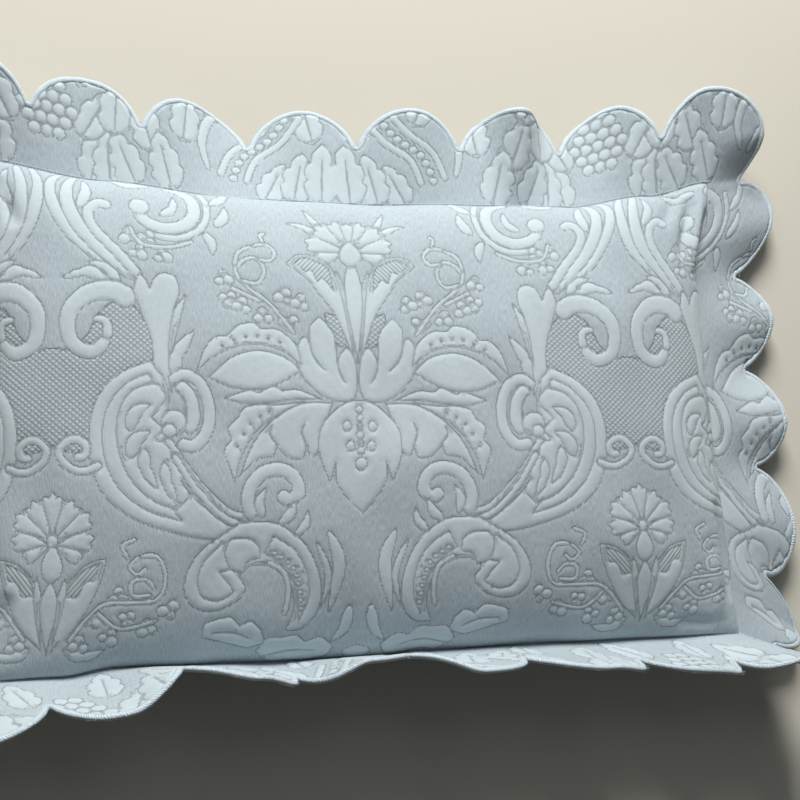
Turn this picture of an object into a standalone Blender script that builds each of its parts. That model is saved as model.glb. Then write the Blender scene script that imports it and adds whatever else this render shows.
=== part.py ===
"""A matelasse pillow sham with a scalloped flange, filled with its pillow and lying on its back.

X runs along the width, Y towards the top edge and Z up, out of the front panel. The origin is the
middle of the flat patch of the back that rests on the surface. Lengths are in metres.

Two maps do the work. The cloth is laid out flat in s (along the width) and t (along the height),
with the seam between body and flange at HALF_WIDTH and HALF_HEIGHT. place() then carries a point of
that flat cloth to where it lies on the filled sham.
"""

import bpy
import numpy as np
from mathutils import Vector
from mathutils.geometry import delaunay_2d_cdt

# The sham as it is cut: 30 x 20 in inside the seam, with a 4 in flange
HALF_WIDTH = 0.381
HALF_HEIGHT = 0.254
FLANGE_WIDTH = 0.1016
FLANGE_THICKNESS = 0.003

# The scallops
SCALLOP_DEPTH = 0.042
LONG_SIDE_SCALLOPS = 6
LONG_SIDE_PITCH = 0.1088
SHORT_SIDE_SCALLOPS = 5
SHORT_SIDE_PITCH = 0.100
CORNER_LOBE_RADIUS = 0.062
CORNER_LOBE_CENTRE = (0.385, 0.294)
VALLEY_RADIUS = 0.0015

# The corded edging sewn along the scallops: how far in from the outer edge, and how far off the
# middle of the flange's thickness, each corner of its section lies
EDGING_WIDTH = 0.0057
EDGING_GAP = 0.0003
EDGING_SECTION = [
    (0.0, 0.0),
    (0.0010, 0.0021),
    (EDGING_WIDTH, 0.0014),
    (EDGING_WIDTH, -0.0014),
    (0.0010, -0.0021),
]

# The filled body
SEAM_HEIGHT = 0.048
CROWN_RISE = 0.062
CROWN_POWER = 2.6
BACK_DROP = 0.062
BACK_SOFTNESS = 0.006
EDGE_GATHER = 6

# How far the filling draws each side's seam in: place along the side, draw
TOP_DRAW = [
    (-0.381, 0.0054),
    (-0.25, 0.0238),
    (-0.12, 0.0359),
    (0, 0.0369),
    (0.11, 0.0335),
    (0.22, 0.0315),
    (0.31, 0.0155),
    (0.381, -0.0021),
]
BOTTOM_DRAW = [
    (-0.381, 0.0118),
    (-0.3, 0.0148),
    (-0.25, 0.0218),
    (-0.075, 0.0238),
    (0, 0.0258),
    (0.04, 0.0298),
    (0.125, 0.0328),
    (0.23, 0.0358),
    (0.381, 0.0378),
]
RIGHT_DRAW = [
    (-0.254, 0.0013),
    (-0.2, 0.0055),
    (-0.05, 0.0158),
    (0.05, 0.0204),
    (0.15, 0.0226),
    (0.254, 0.0001),
]
LEFT_DRAW = [
    (-0.254, 0.002),
    (-0.12, 0.016),
    (0.12, 0.018),
    (0.254, 0.002),
]

# How far the flange lifts along each side: place along the side, degrees. The bottom flange stands
# up, as it does on a sham that has stood on it, and the others sag in waves.
BOTTOM_LIFT = [
    (-0.46, 45),
    (-0.3265, 64),
    (-0.272, 66),
    (-0.2177, 86),
    (-0.163, 80),
    (-0.1088, 72),
    (-0.054, 87),
    (0, 88),
    (0.054, 76),
    (0.1088, 75),
    (0.163, 72),
    (0.2177, 63),
    (0.272, 64),
    (0.3265, 60),
    (0.379, 72),
    (0.46, 58),
]
TOP_LIFT = [
    (-0.46, 7),
    (-0.36, 13),
    (-0.27, 2),
    (-0.2, -2),
    (-0.12, -18),
    (-0.04, -7),
    (0.06, 3),
    (0.13, -6),
    (0.17, 16),
    (0.205, -6),
    (0.24, -10),
    (0.29, 4),
    (0.325, 10),
    (0.37, 14),
    (0.46, 15),
]
RIGHT_LIFT = [
    (-0.36, -11),
    (-0.3, -12),
    (-0.25, -14),
    (-0.2, -22),
    (-0.15, -22),
    (-0.1, -13),
    (-0.05, -21),
    (0, -11),
    (0.05, -21),
    (0.1, -13),
    (0.15, -22),
    (0.2, -14),
    (0.25, -20),
    (0.3, 0),
    (0.36, 0),
]
LEFT_LIFT = [
    (-0.36, -8),
    (-0.25, -14),
    (-0.16, -6),
    (-0.08, -15),
    (0, -7),
    (0.09, -15),
    (0.17, -6),
    (0.25, -14),
    (0.36, -4),
]
# How far the bottom flange leans to the right as it stands: place along the side, share of its width
BOTTOM_LEAN = [
    (-0.46, 0),
    (-0.34, 0.19),
    (-0.2, 0.35),
    (0, 0.22),
    (0.25, 0.58),
    (0.36, 0.34),
    (0.46, 0.11),
]
# How far the right flange leans towards the top edge, in the same way
RIGHT_LEAN = [
    (-0.36, 0.02),
    (-0.25, -0.31),
    (-0.15, -0.45),
    (-0.05, 0),
    (0.05, 0.17),
    (0.15, 0.17),
    (0.25, 0.25),
    (0.36, 0.1),
]

# Folds of the filled body and flange, as soft troughs (negative) and ridges along a line:
# start s, start t, end s, end t, half width, height
FOLDS = [
    (0.352, 0.238, 0.345, 0.165, 0.007, -0.005),
    (0.366, 0.240, 0.362, 0.150, 0.006, 0.004),
    (0.376, 0.225, 0.374, 0.140, 0.006, -0.005),
    (0.335, 0.246, 0.318, 0.205, 0.008, -0.003),
    (0.360, -0.090, 0.372, -0.215, 0.008, -0.006),
    (0.342, -0.150, 0.352, -0.235, 0.010, 0.004),
    (0.300, -0.225, 0.350, -0.238, 0.008, -0.004),
    (-0.352, 0.232, -0.338, 0.175, 0.008, -0.004),
    (-0.362, -0.225, -0.345, -0.165, 0.008, -0.004),
]

# The woven and stitched pattern: the largest leaves and scrolls stand up as soft pads
RELIEF = 0.0018
PATTERN_AXIS = -0.024
HALF_REPEAT = 0.285
REPEAT_HEIGHT = 0.469
PAD_MARGIN = 0.010
# Each pad follows a spine through three points, measured from the pattern's axis and the sham's
# middle: start, bend, end, and its half width at its widest
PADS = [
    ("crest", (0.000, 0.171), (0.000, 0.192), (0.000, 0.216), 0.010),
    ("crest side", (0.010, 0.174), (0.024, 0.184), (0.038, 0.199), 0.008),
    ("bell", (0.000, 0.156), (0.000, 0.124), (0.000, 0.077), 0.013),
    ("hatched leaf", (0.020, 0.117), (0.030, 0.142), (0.048, 0.165), 0.011),
    ("upright leaf", (0.018, 0.024), (0.036, 0.061), (0.032, 0.106), 0.014),
    ("spreading leaf", (0.024, 0.007), (0.060, 0.026), (0.108, 0.045), 0.016),
    ("falling leaf", (0.026, -0.010), (0.072, -0.010), (0.116, -0.058), 0.017),
    ("pendant", (0.000, -0.005), (0.000, -0.050), (0.000, -0.096), 0.016),
    ("pendant side", (0.016, -0.018), (0.032, -0.035), (0.034, -0.067), 0.010),
    ("trunk", (0.178, 0.110), (0.200, 0.066), (0.186, 0.022), 0.010),
    ("oval scroll", (0.206, 0.049), (0.258, 0.007), (0.236, -0.052), 0.014),
    ("oval return", (0.228, -0.064), (0.206, -0.104), (0.150, -0.107), 0.013),
    ("rosette", (0.158, 0.003), (0.172, 0.009), (0.184, -0.003), 0.011),
    ("trunk leaf", (0.150, 0.102), (0.146, 0.066), (0.166, 0.037), 0.010),
    ("upper curl", (0.212, 0.085), (0.246, 0.068), (0.268, 0.104), 0.011),
    ("rising band", (0.196, 0.125), (0.218, 0.171), (0.262, 0.220), 0.012),
    ("top volute", (0.136, 0.171), (0.146, 0.209), (0.184, 0.195), 0.010),
    ("low volute", (0.090, -0.142), (0.116, -0.115), (0.140, -0.144), 0.013),
    ("low volute return", (0.136, -0.161), (0.118, -0.193), (0.088, -0.176), 0.012),
    ("chain band", (0.040, -0.123), (0.052, -0.153), (0.070, -0.182), 0.009),
    ("low leaf", (0.076, -0.199), (0.052, -0.214), (0.022, -0.210), 0.008),
    ("small curl", (0.066, -0.098), (0.086, -0.069), (0.104, -0.090), 0.009),
    ("small crest", (0.285, -0.096), (0.285, -0.079), (0.285, -0.060), 0.009),
    ("small crest side", (0.274, -0.098), (0.262, -0.092), (0.250, -0.079), 0.007),
    ("small bell", (0.285, -0.111), (0.285, -0.139), (0.285, -0.171), 0.011),
    ("small hatched leaf", (0.268, -0.140), (0.256, -0.123), (0.246, -0.111), 0.009),
    ("small low leaf", (0.272, -0.182), (0.256, -0.193), (0.242, -0.180), 0.008),
    ("trefoils", (0.206, -0.144), (0.220, -0.134), (0.228, -0.151), 0.009),
    ("low trefoils", (0.180, -0.178), (0.194, -0.172), (0.206, -0.187), 0.009),
]

# How finely the faces are divided
PANEL_STEP = 0.023
BACK_STEP = 0.045
SEAM_RINGS = (0.004, 0.010, 0.020, 0.036)
FLANGE_RINGS = (0.018, 0.038)
FOLD_STEP = 0.009


def eased(at, rows):
    """The value at each place along a side, eased smoothly from row to row of a table."""
    rows = np.array(rows, float)
    places, values = rows[:, 0], rows[:, 1]
    row = np.clip(np.searchsorted(places, at) - 1, 0, len(places) - 2)
    part = np.clip((at - places[row]) / (places[row + 1] - places[row]), 0, 1)
    part = part * part * (3 - 2 * part)
    return values[row] + (values[row + 1] - values[row]) * part


def crown(across, up):
    """Height of the filling: 1 in the middle, falling round to 0 at the seam."""
    full = (1 - np.abs(across) ** CROWN_POWER) * (1 - np.abs(up) ** CROWN_POWER)
    return np.sqrt(np.maximum(full, 0))


def even_steps(half):
    """Two tables, of cloth used and of place reached, from the middle of the body to its seam."""
    at = 1 - np.linspace(1, 0, 400) ** 2
    step = np.hypot(np.diff(at) * half, np.diff(CROWN_RISE * crown(at, 0)))
    used = np.concatenate([[0], np.cumsum(step)])
    return used / used[-1], at


ACROSS_STEPS = even_steps(HALF_WIDTH - RIGHT_DRAW[2][1])
UP_STEPS = even_steps(HALF_HEIGHT - TOP_DRAW[3][1])


def body_place(s, t):
    """Where a point of the body's cloth lies, as a share of the way from the middle to each seam."""
    u = s / HALF_WIDTH
    v = t / HALF_HEIGHT
    across = np.sign(u) * np.interp(np.abs(u), *ACROSS_STEPS)
    up = np.sign(v) * np.interp(np.abs(v), *UP_STEPS)
    across += (u - across) * np.abs(v) ** EDGE_GATHER
    up += (v - up) * np.abs(u) ** EDGE_GATHER
    return across, up


def place(s, t):
    """The front of the sham, without folds or pads, at points of the flat cloth."""
    body_s = np.clip(s, -HALF_WIDTH, HALF_WIDTH)
    body_t = np.clip(t, -HALF_HEIGHT, HALF_HEIGHT)
    out_s = s - body_s
    out_t = t - body_t
    across, up = body_place(body_s, body_t)
    right = HALF_WIDTH - eased(body_t, RIGHT_DRAW)
    left = HALF_WIDTH - eased(body_t, LEFT_DRAW)
    top = HALF_HEIGHT - eased(body_s, TOP_DRAW)
    bottom = HALF_HEIGHT - eased(body_s, BOTTOM_DRAW)
    below = out_t < 0
    lean = np.where(below, eased(s, BOTTOM_LEAN), 0)
    long_reach = np.abs(out_t) * np.sqrt(1 - lean**2)
    rise = np.where(out_s > 0, eased(t, RIGHT_LEAN), 0)
    short_reach = np.abs(out_s) * np.sqrt(1 - rise**2)
    long_lift = np.radians(np.where(below, eased(s, BOTTOM_LIFT), eased(s, TOP_LIFT)))
    short_lift = np.radians(np.where(out_s > 0, eased(t, RIGHT_LIFT), eased(t, LEFT_LIFT)))
    x = np.where(across > 0, right, left) * across
    x = x + np.sign(out_s) * short_reach * np.cos(short_lift) + np.abs(out_t) * lean
    y = np.where(up > 0, top, bottom) * up
    y = y + np.sign(out_t) * long_reach * np.cos(long_lift) + np.abs(out_s) * rise
    z = SEAM_HEIGHT + CROWN_RISE * crown(across, up)
    z = z + long_reach * np.sin(long_lift) + short_reach * np.sin(short_lift)
    return np.stack([x, y, z], -1)


def facing(s, t):
    """The way the front panel faces at points of the flat cloth."""
    step = 0.0005
    step_s = np.where(s < -HALF_WIDTH, -step, step)
    step_t = np.where(t < -HALF_HEIGHT, -step, step)
    here = place(s, t)
    along = (place(s + step_s, t) - here) / step_s[:, None]
    up = (place(s, t + step_t) - here) / step_t[:, None]
    normal = np.cross(along, up)
    return normal / np.linalg.norm(normal, axis=1)[:, None]


def from_seam(s, t):
    """Distance inside the seam, less than 0 on the flange."""
    return np.minimum(HALF_WIDTH - np.abs(s), HALF_HEIGHT - np.abs(t))


def fold_height(s, t):
    """Height that the folds add to the front."""
    height = np.zeros_like(s)
    for start_s, start_t, end_s, end_t, half_width, rise in FOLDS:
        along = np.array([end_s - start_s, end_t - start_t])
        length = np.linalg.norm(along)
        share = ((s - start_s) * along[0] + (t - start_t) * along[1]) / length**2
        aside = ((s - start_s) * along[1] - (t - start_t) * along[0]) / length
        taper = np.clip(1 - np.abs(2 * share - 1) ** 3, 0, 1)
        height += rise * taper * np.exp(-((aside / half_width) ** 2))
    return height


def spine_of(start, bend, end, mirror_from, turn, rise):
    """Points along one pad's spine, mirrored and moved to its place in the repeat."""
    share = np.linspace(0, 1, 7)[:, None]
    start, bend, end = np.array(start), np.array(bend), np.array(end)
    spine = (1 - share) ** 2 * start + 2 * share * (1 - share) * bend + share**2 * end
    return np.stack([mirror_from + turn * spine[:, 0], spine[:, 1] + rise], -1)


def pads():
    """Every pad of the front, as its spine and half width, where the repeat puts one on the cloth."""
    found = []
    for _, start, bend, end, half_width in PADS:
        middle_line = start[0] == bend[0] == end[0]
        for repeat in (-1, 0, 1):
            axis = PATTERN_AXIS + 2 * HALF_REPEAT * repeat
            for turn in (1,) if middle_line else (1, -1):
                for rise in (-REPEAT_HEIGHT, 0, REPEAT_HEIGHT):
                    found.append((spine_of(start, bend, end, axis, turn, rise), half_width))
    return [pad for pad in found if fits(*pad)]


def fits(spine, half_width):
    """Whether a pad lies wholly on the body, clear of its seam."""
    depth = from_seam(spine[:, 0], spine[:, 1])
    return depth.min() > half_width * 0.6 + PAD_MARGIN


def half_widths(count, half_width):
    """Half width of a pad at each point of its spine: round at the root, slim at the tip."""
    share = np.linspace(0, 1, count)
    return half_width * np.sin(np.pi * share**0.8) ** 0.6


def rim_of(spine, half_width):
    """The outline of a pad."""
    along = np.gradient(spine, axis=0)
    along /= np.linalg.norm(along, axis=1)[:, None]
    aside = np.stack([along[:, 1], -along[:, 0]], -1) * half_widths(len(spine), half_width)[:, None]
    return np.concatenate([spine, (spine + aside)[1:-1]]), np.concatenate([(spine - aside)[1:-1]])


def lobes():
    """Centre and radius of every scallop, anticlockwise from the right of the bottom right corner."""
    long_radius = (LONG_SIDE_PITCH**2 / 4 + SCALLOP_DEPTH**2) / (2 * SCALLOP_DEPTH)
    short_radius = (SHORT_SIDE_PITCH**2 / 4 + SCALLOP_DEPTH**2) / (2 * SCALLOP_DEPTH)
    long_line = HALF_HEIGHT + FLANGE_WIDTH - long_radius
    short_line = HALF_WIDTH + FLANGE_WIDTH - short_radius
    along = [(i - (LONG_SIDE_SCALLOPS - 1) / 2) * LONG_SIDE_PITCH for i in range(LONG_SIDE_SCALLOPS)]
    beside = [(i - (SHORT_SIDE_SCALLOPS - 1) / 2) * SHORT_SIDE_PITCH for i in range(SHORT_SIDE_SCALLOPS)]
    corner_s, corner_t = CORNER_LOBE_CENTRE
    found = [(short_line, t, short_radius) for t in beside]
    found += [(corner_s, corner_t, CORNER_LOBE_RADIUS)]
    found += [(-s, long_line, long_radius) for s in along]
    found += [(-corner_s, corner_t, CORNER_LOBE_RADIUS)]
    found += [(-short_line, -t, short_radius) for t in beside]
    found += [(-corner_s, -corner_t, CORNER_LOBE_RADIUS)]
    found += [(s, -long_line, long_radius) for s in along]
    found += [(corner_s, -corner_t, CORNER_LOBE_RADIUS)]
    return found


def valley(first, second):
    """Centre of the small round between two scallops, outside the cloth."""
    one, two = np.array(first[:2]), np.array(second[:2])
    reach_one, reach_two = first[2] + VALLEY_RADIUS, second[2] + VALLEY_RADIUS
    apart = np.linalg.norm(two - one)
    along = (apart**2 + reach_one**2 - reach_two**2) / (2 * apart)
    forward = (two - one) / apart
    outward = np.array([forward[1], -forward[0]])
    return one + forward * along + outward * np.sqrt(reach_one**2 - along**2)


def arc(centre, radius, start, end, count):
    """Points along an arc from one angle to another."""
    turn = np.linspace(start, end, count)
    return centre + radius * np.stack([np.cos(turn), np.sin(turn)], -1)


def angle(centre, point):
    return np.arctan2(point[1] - centre[1], point[0] - centre[0])


def scalloped(inset):
    """The scalloped outline on the flat cloth, anticlockwise, moved in from the outer edge."""
    ring = lobes()
    count = len(ring)
    points = []
    for i, (s, t, radius) in enumerate(ring):
        centre = np.array([s, t])
        before = valley(ring[i - 1], ring[i])
        after = valley(ring[i], ring[(i + 1) % count])
        start = angle(centre, before)
        sweep = (angle(centre, after) - start) % (2 * np.pi)
        steps = 7 if sweep < np.pi * 1.1 else 9
        points += list(arc(centre, radius - inset, start, start + sweep, steps))
        start = angle(after, centre)
        sweep = -((start - angle(after, ring[(i + 1) % count][:2])) % (2 * np.pi))
        points += list(arc(after, VALLEY_RADIUS + inset, start, start + sweep, 5)[1:-1])
    return np.array(points)


def inside(points, loop):
    """Whether each point lies inside a closed loop."""
    found = np.zeros(len(points), bool)
    ends = np.roll(loop, -1, axis=0)
    for start, end in zip(loop, ends):
        crosses = (start[1] > points[:, 1]) != (end[1] > points[:, 1])
        with np.errstate(divide="ignore", invalid="ignore"):
            at = start[0] + (points[:, 1] - start[1]) * (end[0] - start[0]) / (end[1] - start[1])
        found ^= crosses & (points[:, 0] < at)
    return found


def rectangle(half_width, half_height, step):
    """Points around a rectangle on the flat cloth, anticlockwise."""
    columns = round(2 * half_width / step)
    rows = round(2 * half_height / step)
    across = np.linspace(-half_width, half_width, columns + 1)[:-1]
    up = np.linspace(-half_height, half_height, rows + 1)[:-1]
    return np.concatenate(
        [
            np.stack([across, np.full(columns, -half_height)], -1),
            np.stack([np.full(rows, half_width), up], -1),
            np.stack([-across, np.full(columns, half_height)], -1),
            np.stack([np.full(rows, -half_width), -up], -1),
        ]
    )


def grid(half_width, half_height, step):
    """Staggered points over a rectangle on the flat cloth."""
    points = []
    for row, t in enumerate(np.arange(-half_height, half_height, step * 0.87)):
        shift = step / 2 * (row % 2)
        points += [(s + shift, t) for s in np.arange(-half_width, half_width - shift, step)]
    return np.array(points)


def loop_edges(first, count):
    return [(first + i, first + (i + 1) % count) for i in range(count)]


def divided(outline, loops, chains, loose):
    """Triangles over the outline that keep its points first, with every loop and chain as edges."""
    points = list(outline)
    edges = loop_edges(0, len(outline))
    for loop in loops:
        edges += loop_edges(len(points), len(loop))
        points += list(loop)
    for chain in chains:
        edges += [(len(points) + i, len(points) + i + 1) for i in range(len(chain) - 1)]
        points += list(chain)
    points += list(loose)
    result = delaunay_2d_cdt([Vector(p) for p in points], edges, [], 0, 0.0002, True)
    flat = np.array([tuple(v) for v in result[0]])
    faces = np.array(result[2])
    faces = faces[inside(flat[faces].mean(axis=1), outline)]
    rank = np.full(len(flat), len(outline))
    for new, sources in enumerate(result[3]):
        rank[new] = min([source for source in sources if source < len(outline)], default=len(outline))
    used = np.unique(faces)
    order = used[np.argsort(rank[used], kind="stable")]
    renumbered = np.zeros(len(flat), int)
    renumbered[order] = np.arange(len(order))
    return flat[order], renumbered[faces]


def relief(s, t, spread):
    """Height of the pads at points of the flat cloth."""
    height = np.zeros_like(s)
    for spine, half_width in spread:
        fine = np.stack([np.interp(np.linspace(0, 6, 31), np.arange(7), spine[:, k]) for k in (0, 1)], -1)
        limit = half_widths(len(fine), half_width)
        near = np.abs(s - fine[15, 0]) + np.abs(t - fine[15, 1]) < 0.12
        away = np.hypot(s[near, None] - fine[:, 0], t[near, None] - fine[:, 1])
        fill = np.max(1 - (away / np.maximum(limit, 1e-4)) ** 2, axis=1)
        height[near] = np.maximum(height[near], RELIEF * np.sqrt(np.clip(fill, 0, 1)))
    return height


def front_face(outline):
    """The front panel and flange, as points of the flat cloth, points in space and triangles."""
    spread = pads()
    loops = [rectangle(HALF_WIDTH, HALF_HEIGHT, PANEL_STEP)]
    loops += [rectangle(HALF_WIDTH - r, HALF_HEIGHT - r, PANEL_STEP) for r in SEAM_RINGS]
    loops += [rectangle(HALF_WIDTH + r, HALF_HEIGHT + r, PANEL_STEP) for r in FLANGE_RINGS]
    chains = []
    for spine, half_width in spread:
        left, right = rim_of(spine, half_width)
        loops.append(np.concatenate([left[:1], left[7:], left[6:7], right[::-1]]))
        chains.append(spine[1:-1])
    loose = list(grid(HALF_WIDTH - SEAM_RINGS[-1], HALF_HEIGHT - SEAM_RINGS[-1], PANEL_STEP))
    padded = relief(*np.array(loose).T, [(spine, half_width * 1.5) for spine, half_width in spread])
    loose = [point for point, height in zip(loose, padded) if height == 0]
    for start_s, start_t, end_s, end_t, half_width, _ in FOLDS:
        length = np.hypot(end_s - start_s, end_t - start_t)
        for share in np.linspace(0, 1, round(length / FOLD_STEP)):
            for aside in (-half_width, 0, half_width):
                s = start_s + share * (end_s - start_s) + aside * (end_t - start_t) / length
                t = start_t + share * (end_t - start_t) - aside * (end_s - start_s) / length
                loose.append((s, t))
    flat, faces = divided(outline, loops, chains, loose)
    s, t = flat.T
    fade = np.clip(from_seam(s, t) / PAD_MARGIN, 0, 1)
    rise = (relief(s, t, spread) + fold_height(s, t)) * fade
    return flat, place(s, t) + facing(s, t) * rise[:, None], faces


def back_height(across, up):
    """Height of the back of the body, flat where it rests."""
    height = SEAM_HEIGHT - BACK_DROP * crown(across, up)
    soft = (height + BACK_SOFTNESS) ** 2 / (4 * BACK_SOFTNESS)
    return np.where(height > BACK_SOFTNESS, height, np.where(height < -BACK_SOFTNESS, 0, soft))


def back_face(outline):
    """The back panel and flange, as points in space and triangles."""
    loops = [rectangle(HALF_WIDTH, HALF_HEIGHT, BACK_STEP)]
    loops += [rectangle(HALF_WIDTH - r, HALF_HEIGHT - r, BACK_STEP) for r in SEAM_RINGS]
    loose = grid(HALF_WIDTH - SEAM_RINGS[-1], HALF_HEIGHT - SEAM_RINGS[-1], BACK_STEP)
    flat, faces = divided(outline, loops, [], loose)
    s, t = flat.T
    points = place(s, t)
    on_flange = from_seam(s, t) < 1e-6
    body = ~on_flange
    points[body, 2] = back_height(*body_place(s[body], t[body])) - FLANGE_THICKNESS
    points[body, 2] = np.maximum(points[body, 2], 0)
    points[on_flange] -= facing(s[on_flange], t[on_flange]) * FLANGE_THICKNESS
    return points, faces


def make_object(name, points, faces, colour, roughness):
    """One closed piece, from points in space and triangles, with its own finish."""
    mesh = bpy.data.meshes.new(name)
    mesh.from_pydata(points.tolist(), [], [list(map(int, face)) for face in faces])
    mesh.update()
    mesh.shade_smooth()
    piece = bpy.data.objects.new(name, mesh)
    bpy.context.collection.objects.link(piece)
    finish = bpy.data.materials.new(name)
    finish.use_nodes = True
    cloth = finish.node_tree.nodes["Principled BSDF"]
    cloth.inputs["Base Color"].default_value = (*colour, 1)
    cloth.inputs["Roughness"].default_value = roughness
    cloth.inputs["Metallic"].default_value = 0.0
    mesh.materials.append(finish)
    return piece


def pillow_sham():
    """The filled body and its flange: front and back panel, closed around the edge."""
    outline = scalloped(EDGING_WIDTH + EDGING_GAP)
    _, front, front_faces = front_face(outline)
    back, back_faces = back_face(outline)
    count = len(outline)
    edge = [(i, (i + 1) % count) for i in range(count)]
    low = len(front)
    faces = [tuple(face) for face in front_faces]
    faces += [(a + low, c + low, b + low) for a, b, c in back_faces]
    faces += [(i, low + i, low + j) for i, j in edge]
    faces += [(i, low + j, j) for i, j in edge]
    make_object("pillow_sham", np.concatenate([front, back]), faces, (0.47, 0.56, 0.62), 0.85)


def scallop_edging():
    """The corded border, a closed ring of one section carried round the scallops."""
    rings = []
    for inset, off in EDGING_SECTION:
        flat = scalloped(inset)
        s, t = flat.T
        rings.append(place(s, t) + facing(s, t) * (off - FLANGE_THICKNESS / 2))
    count = len(rings[0])
    sides = len(rings)
    faces = []
    for side in range(sides):
        here = side * count
        there = (side + 1) % sides * count
        for i in range(count):
            j = (i + 1) % count
            faces += [(here + i, there + j, there + i), (here + i, here + j, there + j)]
    make_object("scallop_edging", np.concatenate(rings), faces, (0.58, 0.68, 0.76), 0.6)


for leftover in list(bpy.data.objects):
    bpy.data.objects.remove(leftover)
pillow_sham()
scallop_edging()
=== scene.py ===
import math

import bpy
import numpy as np
from mathutils import Matrix, Vector
from mathutils.geometry import delaunay_2d_cdt


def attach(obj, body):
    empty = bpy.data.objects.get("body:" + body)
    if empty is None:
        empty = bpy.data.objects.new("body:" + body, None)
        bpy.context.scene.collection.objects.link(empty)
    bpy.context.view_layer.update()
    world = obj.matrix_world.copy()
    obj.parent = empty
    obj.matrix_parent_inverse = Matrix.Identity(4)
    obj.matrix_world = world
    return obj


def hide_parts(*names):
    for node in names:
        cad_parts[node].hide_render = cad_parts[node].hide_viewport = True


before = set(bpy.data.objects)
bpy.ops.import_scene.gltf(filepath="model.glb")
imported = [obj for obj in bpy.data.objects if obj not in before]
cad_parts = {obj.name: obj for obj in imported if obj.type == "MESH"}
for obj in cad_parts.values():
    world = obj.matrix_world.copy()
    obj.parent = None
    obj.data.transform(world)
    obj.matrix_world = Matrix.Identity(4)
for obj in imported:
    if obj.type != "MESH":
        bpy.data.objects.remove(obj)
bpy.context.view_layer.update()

# The camera looks at the front panel from the left and a little from below, with a long lens.
CAMERA_PLACE = (-0.460, -0.3052, 1.780)
CAMERA_TURN = math.radians(-15.65)
CAMERA_TILT = math.radians(10.65)
CAMERA_ROLL = math.radians(0.58)
FOCAL_PIXELS = 1862.6
FRAME_PIXELS = 800
SENSOR_MM = 36.0

lens = bpy.data.cameras.new("camera")
lens.sensor_width = SENSOR_MM
lens.lens = FOCAL_PIXELS / FRAME_PIXELS * SENSOR_MM
camera = bpy.data.objects.new("camera", lens)
turned = Matrix.Rotation(CAMERA_TILT, 4, "X") @ Matrix.Rotation(CAMERA_TURN, 4, "Y")
camera.matrix_world = Matrix.Translation(CAMERA_PLACE) @ turned @ Matrix.Rotation(CAMERA_ROLL, 4, "Z")
bpy.context.collection.objects.link(camera)
bpy.context.scene.camera = camera


# The front panel: quilted jacquard cotton, cut in one with its flange and sewn to the back panel on
# the line between the two. The filling crowns it and draws the sides in. Its cloth is laid out flat
# in s (along the width) and t (along the height), and place() carries it to where it lies.
HALF_WIDTH = 0.381
HALF_HEIGHT = 0.254
SEAM_HEIGHT = 0.048
CROWN_RISE = 0.062
CROWN_POWER = 2.6
EDGE_GATHER = 6

# How far the filling draws each side's seam in: place along the side, draw
TOP_DRAW = [
    (-0.381, 0.0054), (-0.25, 0.0238), (-0.12, 0.0359), (0, 0.0369), (0.11, 0.0335), (0.22, 0.0315),
    (0.31, 0.0155), (0.381, -0.0021),
]
BOTTOM_DRAW = [
    (-0.381, 0.0118), (-0.3, 0.0148), (-0.25, 0.0218), (-0.075, 0.0238), (0, 0.0258), (0.04, 0.0298),
    (0.125, 0.0328), (0.23, 0.0358), (0.381, 0.0378),
]
RIGHT_DRAW = [
    (-0.254, 0.0013), (-0.2, 0.0055), (-0.05, 0.0158), (0.05, 0.0204), (0.15, 0.0226), (0.254, 0.0001),
]
LEFT_DRAW = [
    (-0.254, 0.002), (-0.12, 0.016), (0.12, 0.018), (0.254, 0.002),
]

# How far the flange lifts along each side: place along the side, degrees
BOTTOM_LIFT = [
    (-0.46, 45), (-0.3265, 64), (-0.272, 66), (-0.2177, 86), (-0.163, 80), (-0.1088, 72), (-0.054, 87),
    (0, 88), (0.054, 76), (0.1088, 75), (0.163, 72), (0.2177, 63), (0.272, 64), (0.3265, 60),
    (0.379, 72), (0.46, 58),
]
TOP_LIFT = [
    (-0.46, 7), (-0.36, 13), (-0.27, 2), (-0.2, -2), (-0.12, -18), (-0.04, -7), (0.06, 3), (0.13, -6),
    (0.17, 16), (0.205, -6), (0.24, -10), (0.29, 4), (0.325, 10), (0.37, 14), (0.46, 15),
]
RIGHT_LIFT = [
    (-0.36, -11), (-0.3, -12), (-0.25, -14), (-0.2, -22), (-0.15, -22), (-0.1, -13), (-0.05, -21),
    (0, -11), (0.05, -21), (0.1, -13), (0.15, -22), (0.2, -14), (0.25, -20), (0.3, 0), (0.36, 0),
]
LEFT_LIFT = [
    (-0.36, -8), (-0.25, -14), (-0.16, -6), (-0.08, -15), (0, -7), (0.09, -15), (0.17, -6), (0.25, -14),
    (0.36, -4),
]
# How far the bottom flange leans to the right: place along the side, share of the flange's width
BOTTOM_LEAN = [
    (-0.46, 0), (-0.34, 0.19), (-0.2, 0.35), (0, 0.22), (0.25, 0.58), (0.36, 0.34), (0.46, 0.11),
]
# How far the right flange leans towards the top edge, in the same way
RIGHT_LEAN = [
    (-0.36, 0.02), (-0.25, -0.31), (-0.15, -0.45), (-0.05, 0), (0.05, 0.17), (0.15, 0.17), (0.25, 0.25),
    (0.36, 0.1),
]

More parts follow.
